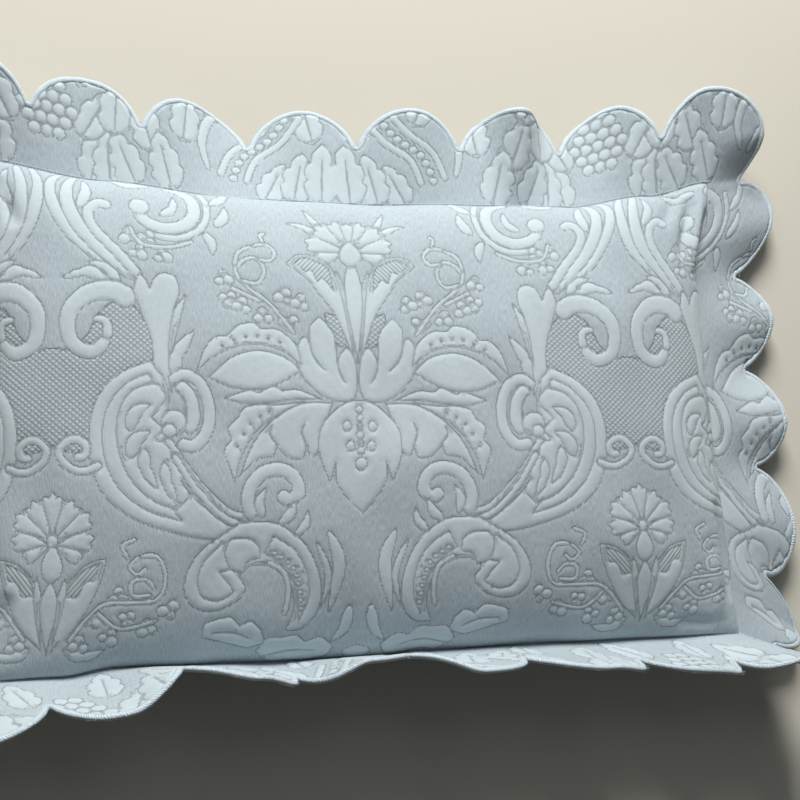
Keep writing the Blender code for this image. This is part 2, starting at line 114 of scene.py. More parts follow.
# Soft troughs (negative) and ridges: start s, start t, end s, end t, half width, height
FOLDS = [
    (0.352, 0.238, 0.345, 0.165, 0.007, -0.005),
    (0.366, 0.240, 0.362, 0.150, 0.006, 0.004),
    (0.376, 0.225, 0.374, 0.140, 0.006, -0.005),
    (0.335, 0.246, 0.318, 0.205, 0.008, -0.003),
    (0.360, -0.090, 0.372, -0.215, 0.008, -0.006),
    (0.342, -0.150, 0.352, -0.235, 0.010, 0.004),
    (0.300, -0.225, 0.350, -0.238, 0.008, -0.004),
    (-0.352, 0.232, -0.338, 0.175, 0.008, -0.004),
    (-0.362, -0.225, -0.345, -0.165, 0.008, -0.004),
]


def eased(at, rows):
    """The value at each place along a side, eased smoothly from row to row of a table."""
    rows = np.array(rows, float)
    places, values = rows[:, 0], rows[:, 1]
    row = np.clip(np.searchsorted(places, at) - 1, 0, len(places) - 2)
    part = np.clip((at - places[row]) / (places[row + 1] - places[row]), 0, 1)
    part = part * part * (3 - 2 * part)
    return values[row] + (values[row + 1] - values[row]) * part


def crown(across, up):
    """Height of the filling: 1 in the middle, falling round to 0 at the seam."""
    full = (1 - np.abs(across) ** CROWN_POWER) * (1 - np.abs(up) ** CROWN_POWER)
    return np.sqrt(np.maximum(full, 0))


def even_steps(half):
    """Two tables, of cloth used and of place reached, from the middle of the body to its seam."""
    at = 1 - np.linspace(1, 0, 400) ** 2
    step = np.hypot(np.diff(at) * half, np.diff(CROWN_RISE * crown(at, 0)))
    used = np.concatenate([[0], np.cumsum(step)])
    return used / used[-1], at


# Half the body's width and height as drawn in near the middle of the right side and of the top
ACROSS_STEPS = even_steps(HALF_WIDTH - RIGHT_DRAW[2][1])
UP_STEPS = even_steps(HALF_HEIGHT - TOP_DRAW[3][1])


def body_place(s, t):
    """Where a point of the body's cloth lies, as a share of the way from the middle to each seam."""
    u = s / HALF_WIDTH
    v = t / HALF_HEIGHT
    across = np.sign(u) * np.interp(np.abs(u), *ACROSS_STEPS)
    up = np.sign(v) * np.interp(np.abs(v), *UP_STEPS)
    across += (u - across) * np.abs(v) ** EDGE_GATHER
    up += (v - up) * np.abs(u) ** EDGE_GATHER
    return across, up


def place(s, t):
    """The front of the sham, without folds or relief, at points of the flat cloth."""
    body_s = np.clip(s, -HALF_WIDTH, HALF_WIDTH)
    body_t = np.clip(t, -HALF_HEIGHT, HALF_HEIGHT)
    out_s = s - body_s
    out_t = t - body_t
    across, up = body_place(body_s, body_t)
    right = HALF_WIDTH - eased(body_t, RIGHT_DRAW)
    left = HALF_WIDTH - eased(body_t, LEFT_DRAW)
    top = HALF_HEIGHT - eased(body_s, TOP_DRAW)
    bottom = HALF_HEIGHT - eased(body_s, BOTTOM_DRAW)
    below = out_t < 0
    lean = np.where(below, eased(s, BOTTOM_LEAN), 0)
    long_reach = np.abs(out_t) * np.sqrt(1 - lean**2)
    rise = np.where(out_s > 0, eased(t, RIGHT_LEAN), 0)
    short_reach = np.abs(out_s) * np.sqrt(1 - rise**2)
    long_lift = np.radians(np.where(below, eased(s, BOTTOM_LIFT), eased(s, TOP_LIFT)))
    short_lift = np.radians(np.where(out_s > 0, eased(t, RIGHT_LIFT), eased(t, LEFT_LIFT)))
    x = np.where(across > 0, right, left) * across
    x = x + np.sign(out_s) * short_reach * np.cos(short_lift) + np.abs(out_t) * lean
    y = np.where(up > 0, top, bottom) * up
    y = y + np.sign(out_t) * long_reach * np.cos(long_lift) + np.abs(out_s) * rise
    z = SEAM_HEIGHT + CROWN_RISE * crown(across, up)
    z = z + long_reach * np.sin(long_lift) + short_reach * np.sin(short_lift)
    return np.stack([x, y, z], -1)


def facing(s, t):
    """The way the front panel faces at points of the flat cloth."""
    step = 0.0005
    step_s = np.where(s < -HALF_WIDTH, -step, step)
    step_t = np.where(t < -HALF_HEIGHT, -step, step)
    here = place(s, t)
    along = (place(s + step_s, t) - here) / step_s[:, None]
    up = (place(s, t + step_t) - here) / step_t[:, None]
    normal = np.cross(along, up)
    return normal / np.linalg.norm(normal, axis=1)[:, None]


def from_seam(s, t):
    """Distance inside the seam, less than 0 on the flange."""
    return np.minimum(HALF_WIDTH - np.abs(s), HALF_HEIGHT - np.abs(t))


def fold_height(s, t):
    """Height that the folds add."""
    height = np.zeros_like(s)
    for start_s, start_t, end_s, end_t, half_width, rise in FOLDS:
        along = np.array([end_s - start_s, end_t - start_t])
        length = np.linalg.norm(along)
        share = ((s - start_s) * along[0] + (t - start_t) * along[1]) / length**2
        aside = ((s - start_s) * along[1] - (t - start_t) * along[0]) / length
        taper = np.clip(1 - np.abs(2 * share - 1) ** 3, 0, 1)
        height += rise * taper * np.exp(-((aside / half_width) ** 2))
    return height


def ripple(s, t, wave, seed):
    """Soft uneven swells about one wave length apart, mostly from -1 to 1."""
    random = np.random.default_rng(seed)
    total = np.zeros_like(s)
    for turn in np.linspace(0, np.pi, 7, endpoint=False):
        turn += random.uniform(-0.2, 0.2)
        pace = 2 * np.pi / (wave * random.uniform(0.75, 1.35))
        total += np.sin(pace * (s * np.cos(turn) + t * np.sin(turn)) + random.uniform(0, 6.28))
    return total / 4.0


# The pattern, in centimetres: u from a mirror line of the pattern, v from the middle of the sham.
# It mirrors at u = 0 and u = HALF_REPEAT, and starts again every REPEAT_HEIGHT.
CM = 0.01
PATTERN_AXIS = -2.4
HALF_REPEAT = 28.5
PATTERN_LOW = -27.5
REPEAT_HEIGHT = 66.1
CHART_STEP = 0.08
CHART_MARGIN = 1.6
CHART_EMPTY = -3.0
OUTLINE_STEP = 0.2

# What a stretch of cloth is: ground, pad, netted ground between scrolls, hatched leaf
GROUND, PAD, NET, HATCH = 0, 1, 2, 3


def smooth(points, closed):
    """A curve through points, which bends smoothly but for those marked 1 as corners."""
    place_of = np.array([point[:2] for point in points], float)
    corner = [len(point) > 2 for point in points]
    count = len(points)
    curve = []
    for i in range(count if closed else count - 1):
        j = (i + 1) % count
        before = place_of[i - 1] if (closed or i > 0) and not corner[i] else place_of[i]
        runs_on = (closed or j + 1 < count) and not corner[j]
        after = place_of[(j + 1) % count] if runs_on else place_of[j]
        run = place_of[j] - place_of[i]
        leave = run if corner[i] else (place_of[j] - before) / 2
        arrive = run if corner[j] else (after - place_of[i]) / 2
        steps = max(2, int(np.linalg.norm(run) / OUTLINE_STEP))
        share = np.linspace(0, 1, steps, endpoint=False)[:, None]
        curve.append(
            (2 * share**3 - 3 * share**2 + 1) * place_of[i]
            + (share**3 - 2 * share**2 + share) * leave
            + (3 * share**2 - 2 * share**3) * place_of[j]
            + (share**3 - share**2) * arrive
        )
    if not closed:
        curve.append(place_of[-1:])
    return np.concatenate(curve)


def along_curve(curve):
    """The share of its length at which each point of a curve lies, and its length."""
    used = np.concatenate([[0], np.cumsum(np.linalg.norm(np.diff(curve, axis=0), axis=1))])
    return used / used[-1], used[-1]


def blade(spine, half_width, form="leaf", lobes=0, lobe_depth=0.35):
    """A closed outline around a spine: a leaf, a petal widest near its tip, or a band or curl."""
    curve = smooth(spine, False)
    share, length = along_curve(curve)
    even = np.linspace(0, 1, max(8, int(length / OUTLINE_STEP) + 1))
    curve = np.stack([np.interp(even, share, curve[:, k]) for k in (0, 1)], -1)
    ahead = np.gradient(curve, axis=0)
    ahead /= np.linalg.norm(ahead, axis=1)[:, None]
    aside = np.stack([ahead[:, 1], -ahead[:, 0]], -1)
    end = np.minimum(half_width, length / 3)
    ends = np.sqrt(np.clip(1 - (1 - np.clip(even * length / end, 0, 1)) ** 2, 0, 1))
    tips = np.sqrt(np.clip(1 - (1 - np.clip((1 - even) * length / end, 0, 1)) ** 2, 0, 1))
    forms = {
        "leaf": np.sin(np.pi * even**0.75) ** 0.8,
        "petal": np.sin(np.pi * even**1.7) ** 0.75,
        "band": ends * tips,
        "curl": ends * tips * (1 - 0.45 * even),
        "swell": ends * tips * (0.45 + 0.55 * np.sin(np.pi * even)),
    }
    width = half_width * forms[form]
    if lobes:
        width = width * (1 - lobe_depth * (1 - np.abs(np.sin(np.pi * lobes * even)) ** 0.6))
    width[0] = width[-1] = 0
    left = curve + aside * width[:, None]
    right = curve - aside * width[:, None]
    return np.concatenate([left, right[-2:0:-1]])


def ring(u, v, radius, squash=1.0):
    """A circle, or an oval when squashed."""
    turn = np.linspace(0, 2 * np.pi, max(8, int(2 * np.pi * radius / 0.15)), endpoint=False)
    return np.stack([u + radius * np.cos(turn), v + radius * squash * np.sin(turn)], -1)


# A ruffled petal and a leaf with lobes to each side, for a width and length of 1. Each point is how
# far across, how far along and, at a corner, 1.
PETAL = [
    (0, 0.12, 1), (-0.5, 0.45), (-1.0, 0.82), (-0.8, 0.97), (-0.42, 0.93, 1), (0, 1.06),
    (0.42, 0.93, 1), (0.8, 0.97), (1.0, 0.82), (0.5, 0.45),
]
LOBED_LEAF = [
    (0, 0, 1), (-0.2, 0.12), (-0.31, 0.34), (-0.25, 0.44, 1), (-0.29, 0.58), (-0.23, 0.72),
    (-0.17, 0.74, 1), (-0.15, 0.9), (0, 1.05, 1), (0.16, 0.88), (0.18, 0.7, 1), (0.25, 0.68),
    (0.3, 0.52), (0.24, 0.4, 1), (0.31, 0.3), (0.2, 0.1),
]


def turned_outline(shape, u, v, turn, width, length):
    """A closed outline rooted at a point and turned so many degrees from straight up."""
    along = np.array([math.sin(math.radians(turn)), math.cos(math.radians(turn))])
    across = np.array([along[1], -along[0]])
    points = []
    for aside, ahead, *corner in shape:
        at = [u, v] + across * aside * width + along * ahead * length
        points.append((at[0], at[1], *corner))
    return smooth(points, True)


def fan(u, v, petals):
    """Ruffled petals round a point: degrees from straight up, length, half width."""
    return [turned_outline(PETAL, u, v, turn, half_width, length) for turn, length, half_width in petals]


def trefoil(u, v, turn):
    """A small three-lobed berry, no two alike."""
    found = []
    for i, step in enumerate((90, 210, 330)):
        at = math.radians(turn + step + 14 * math.sin(9 * u + 5 * i))
        size = 0.50 + 0.09 * math.sin(7 * u + 11 * v + 3 * i)
        found.append(ring(u + 0.52 * math.cos(at), v + 0.48 * math.sin(at), size, 0.92))
    return found


def mirrored(points):
    """A closed outline on the mirror line, from the half that lies right of it."""
    other = [(-point[0], *point[1:]) for point in points[::-1] if point[0] > 0]
    return smooth(points + other, True)


# Each shape is an outline and what it holds. A later shape lies over an earlier one. The outlines
# are drawn on a shorter grid than the cloth's, so each is lengthened and moved up as it is laid.
LENGTHEN = 1.066
MOVE_UP = 1.31
shapes = []


def lay(outlines, kind=PAD):
    for outline in outlines:
        shapes.append((outline * [1, LENGTHEN] + [0, MOVE_UP], kind))


def leaves(rows):
    """Leaves and bands from a table: spine, half width, form, lobes."""
    lay([blade(spine, half_width, form, lobes) for spine, half_width, form, lobes in rows])


def chain(spine, pitch, radius, squash):
    """Beads side by side along a curve."""
    curve = smooth(spine, False)
    share, length = along_curve(curve)
    at = np.linspace(0, 1, round(length / pitch) + 1)
    beads = np.stack([np.interp(at, share, curve[:, k]) for k in (0, 1)], -1)
    lay([ring(bead_u, bead_v, radius, squash) for bead_u, bead_v in beads])


def creases(spines):
    """Rows of stitches inside a pad, as along a vein."""
    lay([blade(spine, 0.05) for spine in spines])


def lay_middle_flower():
    """The large flower on the mirror line: crest, bell, leaves to both sides and a pendant."""
    net = [(0.6, 4.4, 1), (0.8, 7.6, 1), (3.0, 8.0, 1), (2.8, 5.0, 1)]
    lay([smooth(net, True)], NET)
    leaves(
        [
            ([(0.4, 3.2), (0.75, 7.6), (1.6, 12.4)], 0.42, "petal", 0),
            ([(2.2, 15.6), (4.4, 17.2), (5.9, 17.6)], 0.40, "leaf", 0),
            ([(2.2, 15.9), (3.4, 18.2), (4.0, 19.6)], 0.36, "leaf", 0),
        ]
    )
    lay(fan(0, 14.2, [(-98, 3.6, 0.95), (98, 3.6, 0.95), (-72, 4.3, 1.05), (72, 4.3, 1.05)]))
    lay(fan(0, 14.3, [(-46, 4.1, 0.95), (46, 4.1, 0.95), (-20, 3.7, 0.8), (20, 3.7, 0.8), (0, 3.3, 0.62)]))
    hatched = [
        (0.35, 3.4, 1), (1.9, 7.6), (3.5, 10.0), (4.7, 11.6), (6.4, 12.9, 1), (5.6, 13.7), (4.5, 14.0),
        (3.2, 13.6), (2.1, 12.9, 1), (1.5, 11.2), (1.1, 9.0),
    ]
    lay([smooth(hatched, True)])
    hatch = [
        (1.9, 10.2, 1), (2.3, 12.5), (3.3, 13.2), (4.6, 13.6), (5.7, 13.0, 1), (4.6, 12.1, 1),
        (4.0, 12.3), (3.5, 11.1, 1), (2.9, 11.5),
    ]
    lay([smooth(hatch, True)], HATCH)
    lay([blade([(0, 3.0), (0, 8.0), (0, 13.6)], 0.85, "petal"), blade([(0, 12.8), (0, 15.6)], 1.1, "leaf")])
    upright = [
        (0.6, -0.6, 1), (0.12, 1.0), (0.25, 3.2), (0.9, 4.5), (1.5, 4.2), (2.0, 3.2, 1), (2.1, 4.6),
        (2.2, 5.8), (2.9, 6.9), (3.6, 7.6, 1), (4.5, 6.6), (4.6, 5.2, 1), (5.2, 5.6), (5.9, 4.2),
        (5.7, 2.4), (4.4, 0.6), (2.6, -0.5),
    ]
    lay([smooth(upright, True)])
    creases([[(1.3, 1.2), (1.8, 2.2), (2.0, 3.3)], [(3.2, 2.4), (4.2, 3.6), (4.6, 5.2)]])
    serrated = [
        (5.4, 2.9, 1), (6.0, 5.0), (7.6, 6.3), (9.1, 6.3, 1), (9.9, 6.9), (11.4, 6.6), (12.5, 5.5, 1),
        (13.5, 5.4), (14.6, 4.2), (15.4, 1.9, 1), (14.2, 3.2), (12.2, 4.3), (9.8, 4.8), (7.3, 4.3),
    ]
    lay([smooth(serrated, True)])
    lay([smooth([(5.5, 2.3, 1), (7.2, 3.7), (9.8, 4.2), (12.2, 3.4), (14.3, 1.6, 1), (11.8, 0.6),
        (8.6, 0.7)], True)])
    lay([ring(u, v, 0.17) for u, v in [(7.4, 5.0), (8.5, 5.4), (9.6, 5.6), (10.7, 5.5), (11.8, 5.1),
        (12.9, 4.6)]], GROUND)
    strip = [
        (3.6, -0.4, 1), (5.8, 0.5), (7.4, 0.4, 1), (8.2, 0.8), (9.6, 0.2, 1), (10.6, 0.4),
        (12.8, -0.3, 1), (11.0, -0.8), (8.4, -0.7), (6.0, -0.4),
    ]
    lay([smooth(strip, True)])
    outer = [
        (5.3, -0.6, 1), (7.6, -0.9), (9.6, -0.9, 1), (11.0, -1.2), (11.5, -2.0, 1), (12.5, -2.9),
        (12.2, -4.0, 1), (12.9, -5.0), (12.4, -6.4, 1), (12.0, -7.8, 1), (11.4, -5.6), (9.8, -3.2),
        (7.6, -1.7),
    ]
    lay([smooth(outer, True)])
    lay([ring(u, v, 0.15) for u, v in [(8.6, -1.5), (9.5, -2.0), (10.4, -2.6), (11.1, -3.5),
        (11.7, -4.6)]], GROUND)
    falling = [
        (2.6, -0.7, 1), (5.4, -0.8), (8.0, -2.1), (10.1, -4.2), (11.5, -7.2, 1), (9.9, -5.8),
        (8.3, -5.5, 1), (8.0, -4.5, 1), (6.8, -5.6), (5.6, -5.8, 1), (5.2, -4.6, 1), (4.7, -5.5),
        (4.0, -4.9), (3.5, -3.0),
    ]
    lay([smooth(falling, True)])
    creases([[(8.0, -4.4), (8.6, -3.6), (8.4, -2.8)], [(5.2, -4.5), (5.6, -3.4), (5.2, -2.4)]])
    pendant = [
        (0, -0.5), (1.3, -0.7), (2.7, -1.7), (3.8, -3.1), (4.0, -4.9), (3.6, -6.4), (3.0, -7.7, 1),
        (2.4, -5.9, 1), (2.4, -7.6), (1.4, -9.2), (0, -10.6, 1),
    ]
    lay([mirrored(pendant)])
    lay([ring(0, v, radius) for v, radius in [(-1.3, 0.38), (-2.1, 0.34), (-3.6, 0.38), (-5.0, 0.38),
        (-6.2, 0.6)]])
    lay([ring(0, v, 0.3, 0.4) for v in (-2.7, -3.0, -4.2, -4.45)])
    lay([ring(1.25, -2.8, 0.42, 1.2), ring(1.0, -4.6, 0.44, 1.1)])


def lay_sprays():
    """Berries on stalks and looped tendrils, beside both flowers."""
    lay(sum([trefoil(*row) for row in SPRAY_BERRIES], []))
    leaves([(spine, 0.2, "band", 0) for spine in SPRAY_STALKS])


# Berries of the sprays: u, v, turn
SPRAY_BERRIES = [
    (12.6, 11.2, 0), (12.2, 9.2, 40), (10.9, 8.5, 10), (6.9, 9.4, 30), (8.9, 7.5, 0), (5.3, 8.9, 15),
    (6.5, 7.0, 50), (22.4, -17.4, 0), (24.5, -19.2, 20), (17.7, -18.6, 30), (21.4, -19.4, 50),
    (19.6, -20.2, 0), (25.6, -21.4, 10), (23.0, -21.0, 40), (21.1, 14.8, 0), (19.4, 14.5, 40),
    (20.4, 13.2, 20), (18.2, 12.9, 0),
]
# Stalks and tendrils, each through its own points
SPRAY_STALKS = [
    [(5.9, 5.8), (8.2, 8.7), (10.3, 10.4), (11.3, 11.8), (11.0, 13.8), (9.5, 14.7)],
    [(9.0, 8.9), (11.4, 10.1), (12.0, 10.3)],
    [(10.9, 11.1), (9.3, 10.8), (8.6, 12.2), (9.4, 13.4), (10.7, 13.0), (11.1, 12.2)],
    [(9.5, 14.7), (8.2, 14.9), (7.4, 14.0), (8.0, 13.1), (9.1, 13.3)],
    [(8.3, 15.0), (8.6, 15.9), (8.0, 16.3)],
    [(26.6, -21.0), (24.0, -18.2), (21.0, -17.9), (18.8, -17.6), (18.2, -15.8), (19.0, -14.0),
        (20.6, -13.9)],
    [(20.6, -13.9), (21.5, -14.8), (20.7, -15.5), (19.9, -14.8)],
    [(19.3, -17.2), (21.0, -17.3), (21.2, -16.1), (19.9, -15.9), (19.1, -16.8)],
    [(21.6, -14.2), (22.2, -13.0), (20.8, -12.4)],
    [(24.2, -18.6), (22.0, -20.2), (18.6, -19.4)],
    [(20.9, 15.9), (20.0, 14.0), (17.4, 13.8), (15.0, 14.7)],
]


def lay_trunk():
    """The upright between net and flower, its curl over the net and the bands that rise from it."""
    net = [
        (29.6, 3.6), (27.4, 4.2), (25.4, 5.4), (24.2, 7.6), (22.0, 8.6), (20.2, 7.0), (19.2, 4.4),
        (19.8, 1.8), (22.0, 1.4), (23.6, -1.6), (24.0, -4.6), (26.4, -4.9), (29.6, -3.4),
    ]
    lay([smooth(net, True)], NET)
    leaves(
        [
            ([(23.0, 11.6), (26.0, 14.4), (27.6, 17.4), (27.9, 20.2), (26.9, 22.6)], 0.62, "swell", 0),
            ([(20.9, 10.4), (23.6, 13.2), (25.8, 16.2), (26.4, 19.4), (25.6, 22.4)], 0.72, "swell", 0),
            ([(20.4, 10.6), (22.2, 13.0), (24.2, 15.6), (24.5, 17.4), (23.4, 18.4), (22.4, 17.8)], 0.5,
                "band", 0),
            ([(25.4, 17.6), (24.6, 19.6), (25.0, 21.6)], 0.55, "leaf", 0),
            ([(18.2, 3.0), (17.6, 6.0), (16.2, 9.3)], 0.55, "leaf", 0),
            ([(18.0, 0.9), (17.0, 3.8), (15.4, 6.0)], 0.75, "leaf", 2),
            ([(23.0, 9.4), (24.8, 11.2), (27.6, 10.6)], 0.62, "leaf", 3),
            ([(22.2, 9.8), (23.4, 11.6), (25.2, 12.2)], 0.5, "leaf", 2),
            ([(21.0, 8.2), (22.8, 9.4), (25.2, 9.2), (27.0, 7.4), (26.8, 4.8), (24.9, 3.9), (23.4, 5.2)],
                1.0, "curl", 0),
            ([(23.5, 5.0), (23.6, 6.6), (24.9, 6.9)], 0.5, "curl", 0),
        ]
    )
    trunk = [
        (17.7, 0.2, 1), (17.9, 4.2), (17.4, 7.6), (16.8, 9.4), (17.1, 10.9), (18.3, 11.2),
        (19.1, 10.6), (19.5, 9.6, 1), (19.9, 10.5), (20.5, 10.9), (21.0, 9.4), (20.4, 7.6),
        (19.4, 4.5), (19.5, 0.4, 1),
    ]
    lay([smooth(trunk, True)])


def lay_oval_scroll():
    """The large acanthus scroll below the trunk, with its knot and its two stems."""
    outer = [
        (19.6, 3.0, 1), (22.2, 2.0), (24.2, 0.2), (25.1, -2.2), (25.1, -5.4), (24.0, -8.4),
        (21.4, -10.6), (17.8, -11.9), (14.2, -12.6), (11.2, -12.2, 1), (13.6, -10.8), (16.4, -8.2),
        (18.2, -4.6), (18.0, 0.4),
    ]
    lay([smooth(outer, True)])
    inner = [
        (19.8, 1.9, 1), (21.8, 1.0), (23.4, -0.8), (24.0, -3.0), (23.7, -5.8), (22.4, -8.2),
        (20.0, -10.0), (16.8, -11.0, 1), (18.6, -8.6), (20.0, -5.4), (20.2, -2.0), (19.2, 0.4),
    ]
    lay([smooth(inner, True)])
    lobes = [
        (19.0, 1.0, 1), (20.8, 0.6), (22.0, -0.4), (22.7, -2.4), (22.5, -5.0), (21.4, -7.4),
        (19.4, -9.2), (17.2, -10.0, 1), (16.2, -8.8), (16.9, -7.6, 1), (16.6, -6.6), (17.8, -5.6, 1),
        (17.9, -4.4), (19.2, -4.0, 1), (18.6, -3.0), (19.6, -2.0, 1), (18.8, -1.2), (18.2, -0.2),
    ]
    lay([smooth(lobes, True)])
    leaves(
        [
            ([(21.6, -3.2), (21.0, -1.6), (19.6, -0.9)], 0.62, "leaf", 0),
            ([(21.6, -5.6), (21.0, -4.0), (19.6, -3.2)], 0.68, "leaf", 0),
            ([(20.2, -4.6), (20.1, -6.4), (19.0, -8.2)], 0.62, "leaf", 2),
            ([(18.4, -5.8), (18.2, -7.6), (17.2, -9.4)], 0.55, "leaf", 2),
            ([(18.2, -3.8), (15.6, -7.4), (12.8, -10.1), (10.6, -10.8)], 0.32, "band", 0),
            ([(17.6, -5.2), (15.6, -8.2), (13.2, -10.6), (11.2, -11.5)], 0.32, "band", 0),
            ([(17.8, 0.9), (16.6, 1.8), (15.2, 1.2), (14.3, -0.8), (14.4, -3.0), (15.6, -4.5),
                (17.2, -4.2)], 0.56, "band", 0),
            ([(17.2, 1.0), (16.0, -0.2), (15.7, -2.2), (16.4, -3.4)], 0.6, "band", 0),
        ]
    )
    creases([[(17.0, 0.2), (16.4, -1.0), (16.6, -2.4)]])
    lay([ring(17.5, -2.5, 1.15), ring(17.9, -3.2, 0.62)])


def lay_low_scroll():
    """The volute at the foot of the stems, its small curl, chain of beads and leaves."""
    leaves(
        [
            ([(3.3, -12.0), (2.2, -15.0), (3.0, -19.4)], 0.62, "leaf", 0),
            ([(4.4, -13.0), (3.2, -16.0), (3.8, -19.0)], 0.34, "leaf", 0),
        ]
    )
    # The volute: one filled shape from its blunt curled end over the top to its tail at the axis
    volute = [
        (11.4, -11.2, 1), (13.4, -12.4), (15.2, -13.6), (16.3, -15.4), (16.4, -17.2), (15.3, -18.5),
        (13.6, -18.8), (11.8, -18.1), (10.9, -16.9), (11.6, -15.8, 1), (10.6, -15.0), (9.4, -14.9),
        (7.8, -15.5), (6.6, -17.0), (6.3, -19.0), (7.0, -20.8, 1), (5.4, -20.6), (4.2, -19.4),
        (3.8, -17.6), (4.2, -15.4), (5.6, -13.0), (8.2, -11.3),
    ]
    lay([smooth(volute, True)])
    edge = [
        (8.4, -12.4, 1), (6.4, -13.7), (5.2, -15.8), (5.0, -18.0), (5.8, -20.0, 1), (6.0, -18.4),
        (6.4, -16.6), (7.6, -14.9), (9.2, -13.9, 1),
    ]
    lay([smooth(edge, True)])
    leaf = [
        (13.0, -12.9, 1), (14.6, -14.2), (15.3, -15.9), (14.8, -17.5), (13.2, -17.9), (11.9, -17.2, 1),
        (12.6, -16.2), (13.4, -15.4, 1), (12.4, -15.2), (12.0, -14.2),
    ]
    lay([smooth(leaf, True)])
    lobe = [
        (12.4, -12.6, 1), (12.9, -13.8), (12.3, -15.2), (11.2, -15.6, 1), (10.7, -14.6),
        (9.6, -14.3, 1), (9.8, -13.2), (10.8, -12.6),
    ]
    lay([smooth(lobe, True)])
    chain([(8.3, -13.9), (6.7, -15.0), (5.9, -16.8), (5.6, -18.8)], 0.74, 0.29, 0.8)
    leaves(
        [
            ([(9.0, -14.6), (7.4, -15.6), (6.9, -17.4), (7.2, -19.4)], 0.24, "band", 0),
            ([(10.3, -11.0), (10.8, -9.0), (9.8, -7.2), (8.0, -6.6), (6.5, -7.2), (6.0, -8.6),
                (7.0, -9.3), (7.8, -8.5)], 0.62, "band", 0),
            ([(9.4, -10.9), (9.7, -9.4), (9.0, -8.2)], 0.46, "leaf", 0),
            ([(7.9, -11.4), (6.9, -10.6), (6.4, -9.4)], 0.5, "leaf", 0),
            ([(6.4, -12.4), (5.4, -11.4), (5.2, -10.2)], 0.42, "leaf", 0),
        ]
    )
    tail = [
        (14.6, -21.2, 1), (14.4, -20.0), (13.2, -19.5, 1), (12.0, -19.4), (11.2, -20.2, 1),
        (10.2, -19.8), (9.2, -20.6, 1), (9.0, -21.8), (10.4, -22.4, 1), (12.4, -21.8),
    ]
    lay([smooth(tail, True)])
    low = [
        (9.6, -22.8, 1), (8.6, -21.4), (7.2, -21.4, 1), (6.0, -21.2), (5.0, -22.0, 1), (3.6, -21.6),
        (2.2, -22.6, 1), (3.0, -24.0), (5.0, -24.6, 1), (6.6, -24.2), (8.0, -24.6),
    ]
    lay([smooth(low, True)])
    creases([[(8.6, -23.4), (6.6, -22.8), (4.0, -23.0)], [(13.6, -20.8), (11.8, -20.8), (10.2, -21.4)]])
    leaves([([(1.0, -18.6), (1.4, -20.8), (2.6, -22.2)], 0.55, "leaf", 0)])


def lay_top_volute():
    """The scroll above the trunk that turns in towards the crest."""
    leaves(
        [
            ([(19.0, 14.9), (16.2, 14.9), (13.9, 16.6), (13.3, 19.2), (14.0, 21.6)], 0.34, "band", 0),
            ([(19.9, 18.0), (19.3, 16.4), (17.3, 15.8), (15.3, 16.7), (14.5, 18.6), (15.2, 20.7),
                (17.4, 21.9)], 0.62, "band", 0),
            ([(17.9, 17.2), (16.6, 18.2), (16.4, 20.0)], 0.5, "leaf", 2),
            ([(13.9, 15.9), (13.3, 14.7), (13.4, 13.4)], 0.5, "leaf", 0),
            ([(12.8, 16.6), (11.8, 17.9), (11.6, 19.4)], 0.55, "leaf", 0),
            ([(13.0, 19.4), (11.6, 21.0), (11.8, 22.8)], 0.6, "leaf", 2),
            ([(18.6, 21.6), (21.0, 21.0), (22.6, 22.4)], 0.6, "leaf", 2),
        ]
    )
    lay([ring(19.7, 18.1, 0.95)])


def lay_small_flower():
    """The small flower on the other mirror line, below the net, with curls over it."""
    u = HALF_REPEAT
    curl = [
        (24.0, -6.0), (25.9, -6.5), (27.5, -5.7), (27.9, -4.6), (26.7, -3.7), (25.5, -4.3),
        (25.7, -5.3), (26.6, -5.2),
    ]
    leaves([(curl, 0.36, "band", 0), ([(27.0, -21.6), (25.2, -22.6), (23.2, -22.2)], 0.6, "leaf", 2)])
    plain = [
        (28.0, -21.8, 1), (27.7, -18.6), (27.3, -16.4), (26.3, -15.0), (25.1, -14.3), (23.6, -14.0, 1),
        (24.0, -15.8), (24.8, -17.8), (26.2, -20.0),
    ]
    lay([smooth(plain, True)])
    hatch = [
        (27.1, -17.0, 1), (26.5, -15.5), (25.3, -14.7), (24.2, -14.4, 1), (24.6, -15.9, 1),
        (25.4, -15.9), (26.0, -17.1, 1),
    ]
    lay([smooth(hatch, True)], HATCH)
    leaves([([(27.9, -21.2), (27.6, -18.4), (27.2, -15.4)], 0.34, "petal", 0)])
    lay([blade([(u, -22.2), (u, -19.0), (u, -15.8)], 0.75, "petal")])
    lay(fan(u, -12.6, [(-112, 2.8, 0.8), (112, 2.8, 0.8), (-84, 3.6, 1.0), (84, 3.6, 1.0)]))
    lay(fan(u, -12.4, [(-56, 3.9, 1.05), (56, 3.9, 1.05), (-28, 3.8, 0.95), (28, 3.8, 0.95),
        (0, 4.0, 0.9)]))
    lay([blade([(u, -15.9), (u, -14.2), (u, -12.6)], 0.95, "leaf"), ring(u, -12.3, 0.5)])
    lay([mirrored([(0, -25.6, 1), (0.9, -24.4), (1.3, -23.2), (0, -22.6, 1)])])


